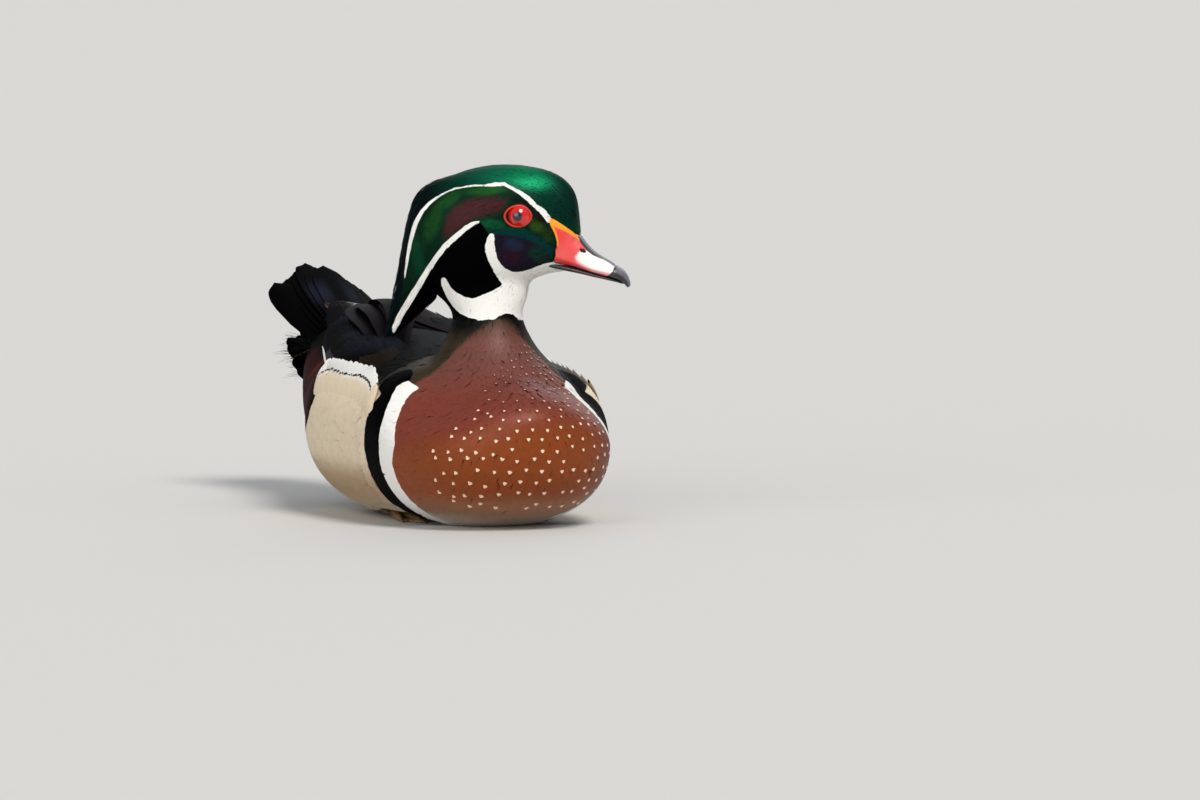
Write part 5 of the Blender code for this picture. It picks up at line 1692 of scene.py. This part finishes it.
def upper_bill():
    rings, sides = [], 88
    for ahead, half_width, top, bottom, power in rows_at(UPPER_BILL, np.linspace(0, 1, 150)):
        widest = bottom + 0.22 * (top - bottom)
        section = oval(max(half_width, 0.2), top - widest, widest - bottom, power, sides, 2.6)
        rings.append(np.stack([np.full(sides, ahead), section[:, 0], widest + section[:, 1]], -1))
    made = loft("bill_upper_horn", rings)
    f, left, u = points_of(made).T
    edge = inside_area(np.stack([f, u], -1), BARE_BILL)
    clear = head_width(f, u) + 0.35 * smooth_step(-0.3, 0.4, edge) - 1.1 * smooth_step(0.1, -0.5, edge)
    wide = (np.abs(left) > 4) & (f < 30.5) & (edge > -0.5)
    left = np.where(wide, np.sign(left) * np.maximum(np.abs(left), clear), left)
    hidden = (edge < -0.5) & (f < 31)
    left = np.where(hidden, np.sign(left) * np.minimum(np.abs(left), np.maximum(clear, 0.3)), left)
    c, s = math.cos(NOSTRIL_TURN), math.sin(NOSTRIL_TURN)
    df, du = f - NOSTRIL[0], u - NOSTRIL[1]
    off = np.hypot((df * c + du * s) / 1.9, (du * c - df * s) / 0.9)
    hole = smooth_step(1.05, 0.55, off) * (np.abs(left) > 3)
    lip = smooth_step(1.7, 1.15, off) * (np.abs(left) > 3) * (1 - hole)
    left = left - np.sign(left) * (1.5 * hole - 0.18 * lip)
    nail = smooth_step(47.4, 48.8, f)
    crease = np.exp(-(((f - 47.6) / 0.45) ** 2))
    u = u + (0.35 * nail - 0.40 * crease) * smooth_step(-31.5, -26, u)
    groove = np.exp(-(((u - mouth_line(f) - 1.5) / 0.35) ** 2)) * (np.abs(left) > 2) * (f < 49)
    left = left - np.sign(left) * 0.30 * groove
    set_points(made, from_head(np.stack([f, left, u], -1)))
    flat = np.stack([f, u], -1)
    pale = inside_area(flat, PALE_PATCH)
    pale = pale * np.where(pale > 0, 1.0, mixed(0.45, 1.0, smooth_step(-24, -20, u + 0.4 * (f - 34))))
    top = np.interp(f, *np.array([(row[0], row[2]) for row in UPPER_BILL]).T)
    ridge = np.interp(f, [30, 31, 35, 42, 48.5], [1.2, 2.3, 2.2, 0.6, 0.6]) - (top - u)
    ridge = np.where((f > 29.6) & (u > mouth_line(f) + 3), ridge, NO_MARK)
    corner = np.where(f < 21.5, mouth_line(f) + 0.9 - u, NO_MARK)
    black = np.maximum.reduce([ridge, inside_area(flat, BLACK_TIP), 0.9 * (hole - 0.35) * 2, corner])
    off_mouth = np.abs(u - mouth_line(f) - 2.0)
    # The top of the black nail, marked for a painted grey highlight.
    set_values(made, "nail", smooth_step(47.9, 49.0, f) * smooth_step(-3.2, -1.6, u - top))
    set_values(made, "pink", smooth_step(0.4, -1.2, off_mouth - 1.4) * smooth_step(26, 33, f))
    set_values(made, "pale", pale)
    set_values(made, "black", black)
    set_values(made, "rim", np.maximum(line_band(flat, RIM_TOP), line_band(flat, RIM_SIDE)))
    set_values(made, "deep", smooth_step(36, 20, f))
    settle(made, bill_finish, "bill_red", "bill_upper")


def horn(name, colour_of, roughness, coat):
    finish = Finish(name, Roughness=roughness, Coat_Weight=coat, Coat_Roughness=0.18, Subsurface_Weight=0.0)
    finish.set(**colour_of(finish))
    return finish.material


def bill_colours(finish):
    place = finish.place()
    grain = finish.spots(place, 420.0, 4.0)
    broad = finish.spots(place, 90.0, 2.0)
    red = finish.blend(finish.attribute("deep"), (0.80, 0.105, 0.115), (0.80, 0.045, 0.040))
    red = finish.blend((broad - 0.45) * 0.8, red, (0.84, 0.22, 0.20))
    red = finish.blend(finish.attribute("pink") * 0.85, red, (0.80, 0.10, 0.17))
    colour = finish.blend(finish.attribute("pale").between(-1.0, 0.6), red, (0.90, 0.87, 0.84))
    colour = finish.blend(finish.attribute("rim").between(-0.3, 0.35), colour, (0.92, 0.34, 0.008))
    dark = finish.blend(grain, (0.008, 0.008, 0.010), (0.040, 0.040, 0.046))
    # Painted highlight: grey on the top of the black nail.
    nail = finish.blend(grain, (0.085, 0.085, 0.10), (0.19, 0.19, 0.22))
    dark = finish.blend(finish.attribute("nail"), dark, nail)
    colour = finish.blend(finish.attribute("black").between(-0.3, 0.2), colour, dark)
    relief = finish.bump(grain + 0.5 * broad, 0.10, 0.0003)
    return {"Base_Color": colour, "Roughness": 0.26 + 0.22 * grain, "Normal": relief}


def dark_horn_colours(finish):
    place = finish.place()
    grain = finish.spots(place, 420.0, 4.0)
    colour = finish.blend(grain, (0.008, 0.008, 0.010), (0.045, 0.042, 0.045))
    relief = finish.bump(grain, 0.12, 0.0003)
    return {"Base_Color": colour, "Roughness": 0.28 + 0.2 * grain, "Normal": relief}


bill_finish = horn("red_white_and_black_horn", bill_colours, 0.3, 0.25)
dark_horn = horn("black_horn", dark_horn_colours, 0.3, 0.2)


def lower_bill():
    rings, sides = [], 48
    for ahead, half_width, thickness in rows_at(LOWER_BILL, np.linspace(0, 1, 70)):
        across, up = oval(max(half_width, 0.2), thickness / 2, thickness / 2, 2.6, sides).T
        middle = mouth_line(ahead) + 0.25 - thickness / 2
        rings.append(from_head(np.stack([np.full(sides, ahead), across, middle + up], -1)))
    settle(loft("bill_lower_horn", rings), dark_horn, "bill_black", "bill_lower")


upper_bill()
lower_bill()


# ---------------------------------------------------------------- eyes
def eye_colours(finish):
    across, up, uv = finish.along("UVMap")
    fibres = finish.spots(finish.node("ShaderNodeMapping", None, Vector=uv, Scale=(60.0, 4.0, 1.0)), 1.0, 3.0)
    iris = finish.blend(fibres, (0.50, 0.0015, 0.0015), (0.72, 0.006, 0.004))
    iris = finish.blend(up.between(0.85, 0.885) * 0.55, iris, (0.22, 0.001, 0.002))
    iris = finish.blend(up.between(0.70, 0.64) * 0.8, iris, (0.16, 0.002, 0.002))
    colour = finish.blend(up.between(0.886, 0.893), iris, (0.003, 0.003, 0.008))
    return {"Base_Color": colour, "Roughness": 0.10 + 0.05 * fibres}


eye_finish = horn("red_eye", eye_colours, 0.1, 1.0)


def lid_colours(finish):
    place = finish.place()
    folds = finish.spots(place, 700.0, 3.0)
    colour = finish.blend(folds, (0.44, 0.010, 0.007), (0.78, 0.045, 0.030))
    relief = finish.bump(folds, 0.25, 0.0004)
    return {"Base_Color": colour, "Roughness": 0.34 + 0.2 * folds, "Normal": relief}


lid_finish = horn("red_bare_skin", lid_colours, 0.4, 0.1)
head_matrix = Matrix.Translation(Vector(EYES_MIDDLE)) @ Matrix.Rotation(HEAD_TURN, 4, "Z")


def settle_at(made, matrix):
    """Puts a piece modelled in millimetres into its place, its object left at the origin."""
    made.data.transform(Matrix.Diagonal((MM, MM, MM, 1)) @ matrix)
    made.data.update()


def eye(side, word):
    bpy.ops.object.select_all(action="DESELECT")
    bpy.ops.mesh.primitive_uv_sphere_add(segments=64, ring_count=48, radius=EYE_RADIUS)
    made = bpy.context.object
    made.name = made.data.name = "eye_ball_" + word
    for v in made.data.vertices:
        v.co.z += 0.45 * max(0.0, v.co.z / EYE_RADIUS) ** 8
    made.data.shade_smooth()
    out = Matrix.Rotation(-side * math.pi / 2, 4, "X")
    settle_at(made, head_matrix @ Matrix.Translation((EYE_AHEAD, side * (EYE_SIDE - 0.15), EYE_UP)) @ out)
    settle(made, eye_finish, "eye_red", "eye_" + word)

    bpy.ops.object.select_all(action="DESELECT")
    bpy.ops.mesh.primitive_torus_add(major_radius=1, minor_radius=0.16, major_segments=120, minor_segments=24)
    ring = bpy.context.object
    ring.name = ring.data.name = "lid_ring_" + word
    points = np.array([v.co[:] for v in ring.data.vertices])
    angle = np.arctan2(points[:, 1], points[:, 0])
    radial = np.hypot(points[:, 0], points[:, 1]) - 1
    pinch = 1 + 0.05 * np.cos(angle) ** 8
    thick = 3.5 * (1 + 0.05 * np.sin(17 * angle) * 0.6 + 0.04 * np.sin(29 * angle + 1))
    x = EYE_AHEAD + np.cos(angle) * (LID_RADIUS[0] * pinch + radial * thick)
    up = EYE_UP + np.sin(angle) * (LID_RADIUS[1] + radial * thick)
    level = EYE_SIDE + LID_LEVEL + points[:, 2] * 5.0 - LID_TILT * np.cos(angle) - 0.35 * np.sin(angle) ** 2
    set_points(ring, from_head(np.stack([x, side * level, up], -1)))
    face_outwards(ring)
    ring.data.shade_smooth()
    settle(ring, lid_finish, "eye_red", "head")


eye(1, "left")
eye(-1, "right")


# ---------------------------------------------------------------- feet
def foot_colours(finish):
    place = finish.place()
    scales = finish.node("ShaderNodeTexVoronoi", None, Vector=place, Scale=900.0)
    grain = finish.spots(place, 300.0, 3.0)
    colour = finish.blend(grain, (0.40, 0.21, 0.035), (0.24, 0.14, 0.045))
    colour = finish.blend(scales.between(0.35, 0.7), colour, (0.11, 0.065, 0.03))
    relief = finish.bump(scales, 0.5, 0.0004)
    return {"Base_Color": colour, "Roughness": 0.42 + 0.2 * scales, "Normal": relief}


foot_finish = horn("scaled_foot_skin", foot_colours, 0.5, 0.0)
for name in ("leg_left", "leg_right", "foot_left", "foot_right"):
    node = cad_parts[name]
    node.data.materials.clear()
    node.data.materials.append(foot_finish)

# ---------------------------------------------------------------- floor, light and camera
floor_finish = Finish("pale_floor", Roughness=0.9, Base_Color=(0.66, 0.65, 0.63, 1.0), Specular_IOR_Level=0.1)
bpy.ops.object.select_all(action="DESELECT")
bpy.ops.mesh.primitive_plane_add(size=60)
floor = bpy.context.object
floor.name = "floor"
floor.data.materials.append(floor_finish.material)

scene = bpy.context.scene
scene.view_settings.view_transform = "Standard"
world = bpy.data.worlds.new("studio")
scene.world = world
world.use_nodes = True
world.node_tree.nodes["Background"].inputs["Color"].default_value = (0.92, 0.95, 1.0, 1.0)
world.node_tree.nodes["Background"].inputs["Strength"].default_value = 0.36


def soft_light(name, way, strength, spread, colour=(1, 1, 1)):
    """A broad distant light from the given direction."""
    lamp = bpy.data.lights.new(name, "SUN")
    lamp.energy, lamp.angle, lamp.color = strength, math.radians(spread), colour
    made = bpy.data.objects.new(name, lamp)
    made.rotation_euler = Vector(way).to_track_quat("Z", "Y").to_euler()
    scene.collection.objects.link(made)


soft_light("key", (0.60, 0.10, 0.80), 2.1, 22, (1.0, 0.98, 0.94))
soft_light("fill", (0.62, -0.72, 0.30), 1.15, 50, (1.0, 0.99, 0.97))
soft_light("back", (-0.7, 0.5, 0.55), 0.5, 50, (0.95, 0.98, 1.0))

turn, tilt = math.radians(21), math.radians(4)
right = Vector((math.sin(turn), math.cos(turn), 0))
back = Vector((math.cos(turn) * math.cos(tilt), -math.sin(turn) * math.cos(tilt), math.sin(tilt)))
up = Vector((-math.cos(turn) * math.sin(tilt), math.sin(turn) * math.sin(tilt), math.cos(tilt)))
aim_right = 50 * math.sin(turn) + 51.5
aim_up = -112 * math.cos(turn) * math.sin(tilt) + 35 * math.cos(tilt) + 31
camera = bpy.data.objects.new("camera", bpy.data.cameras.new("camera"))
scene.collection.objects.link(camera)
spot = (right * aim_right + up * aim_up + back * 8000) * MM
camera.matrix_world = Matrix((
    (right.x, up.x, back.x, spot.x),
    (right.y, up.y, back.y, spot.y),
    (right.z, up.z, back.z, spot.z),
    (0, 0, 0, 1),
))
camera.data.lens, camera.data.sensor_width = 480, 36
camera.data.clip_end = 100
scene.camera = camera
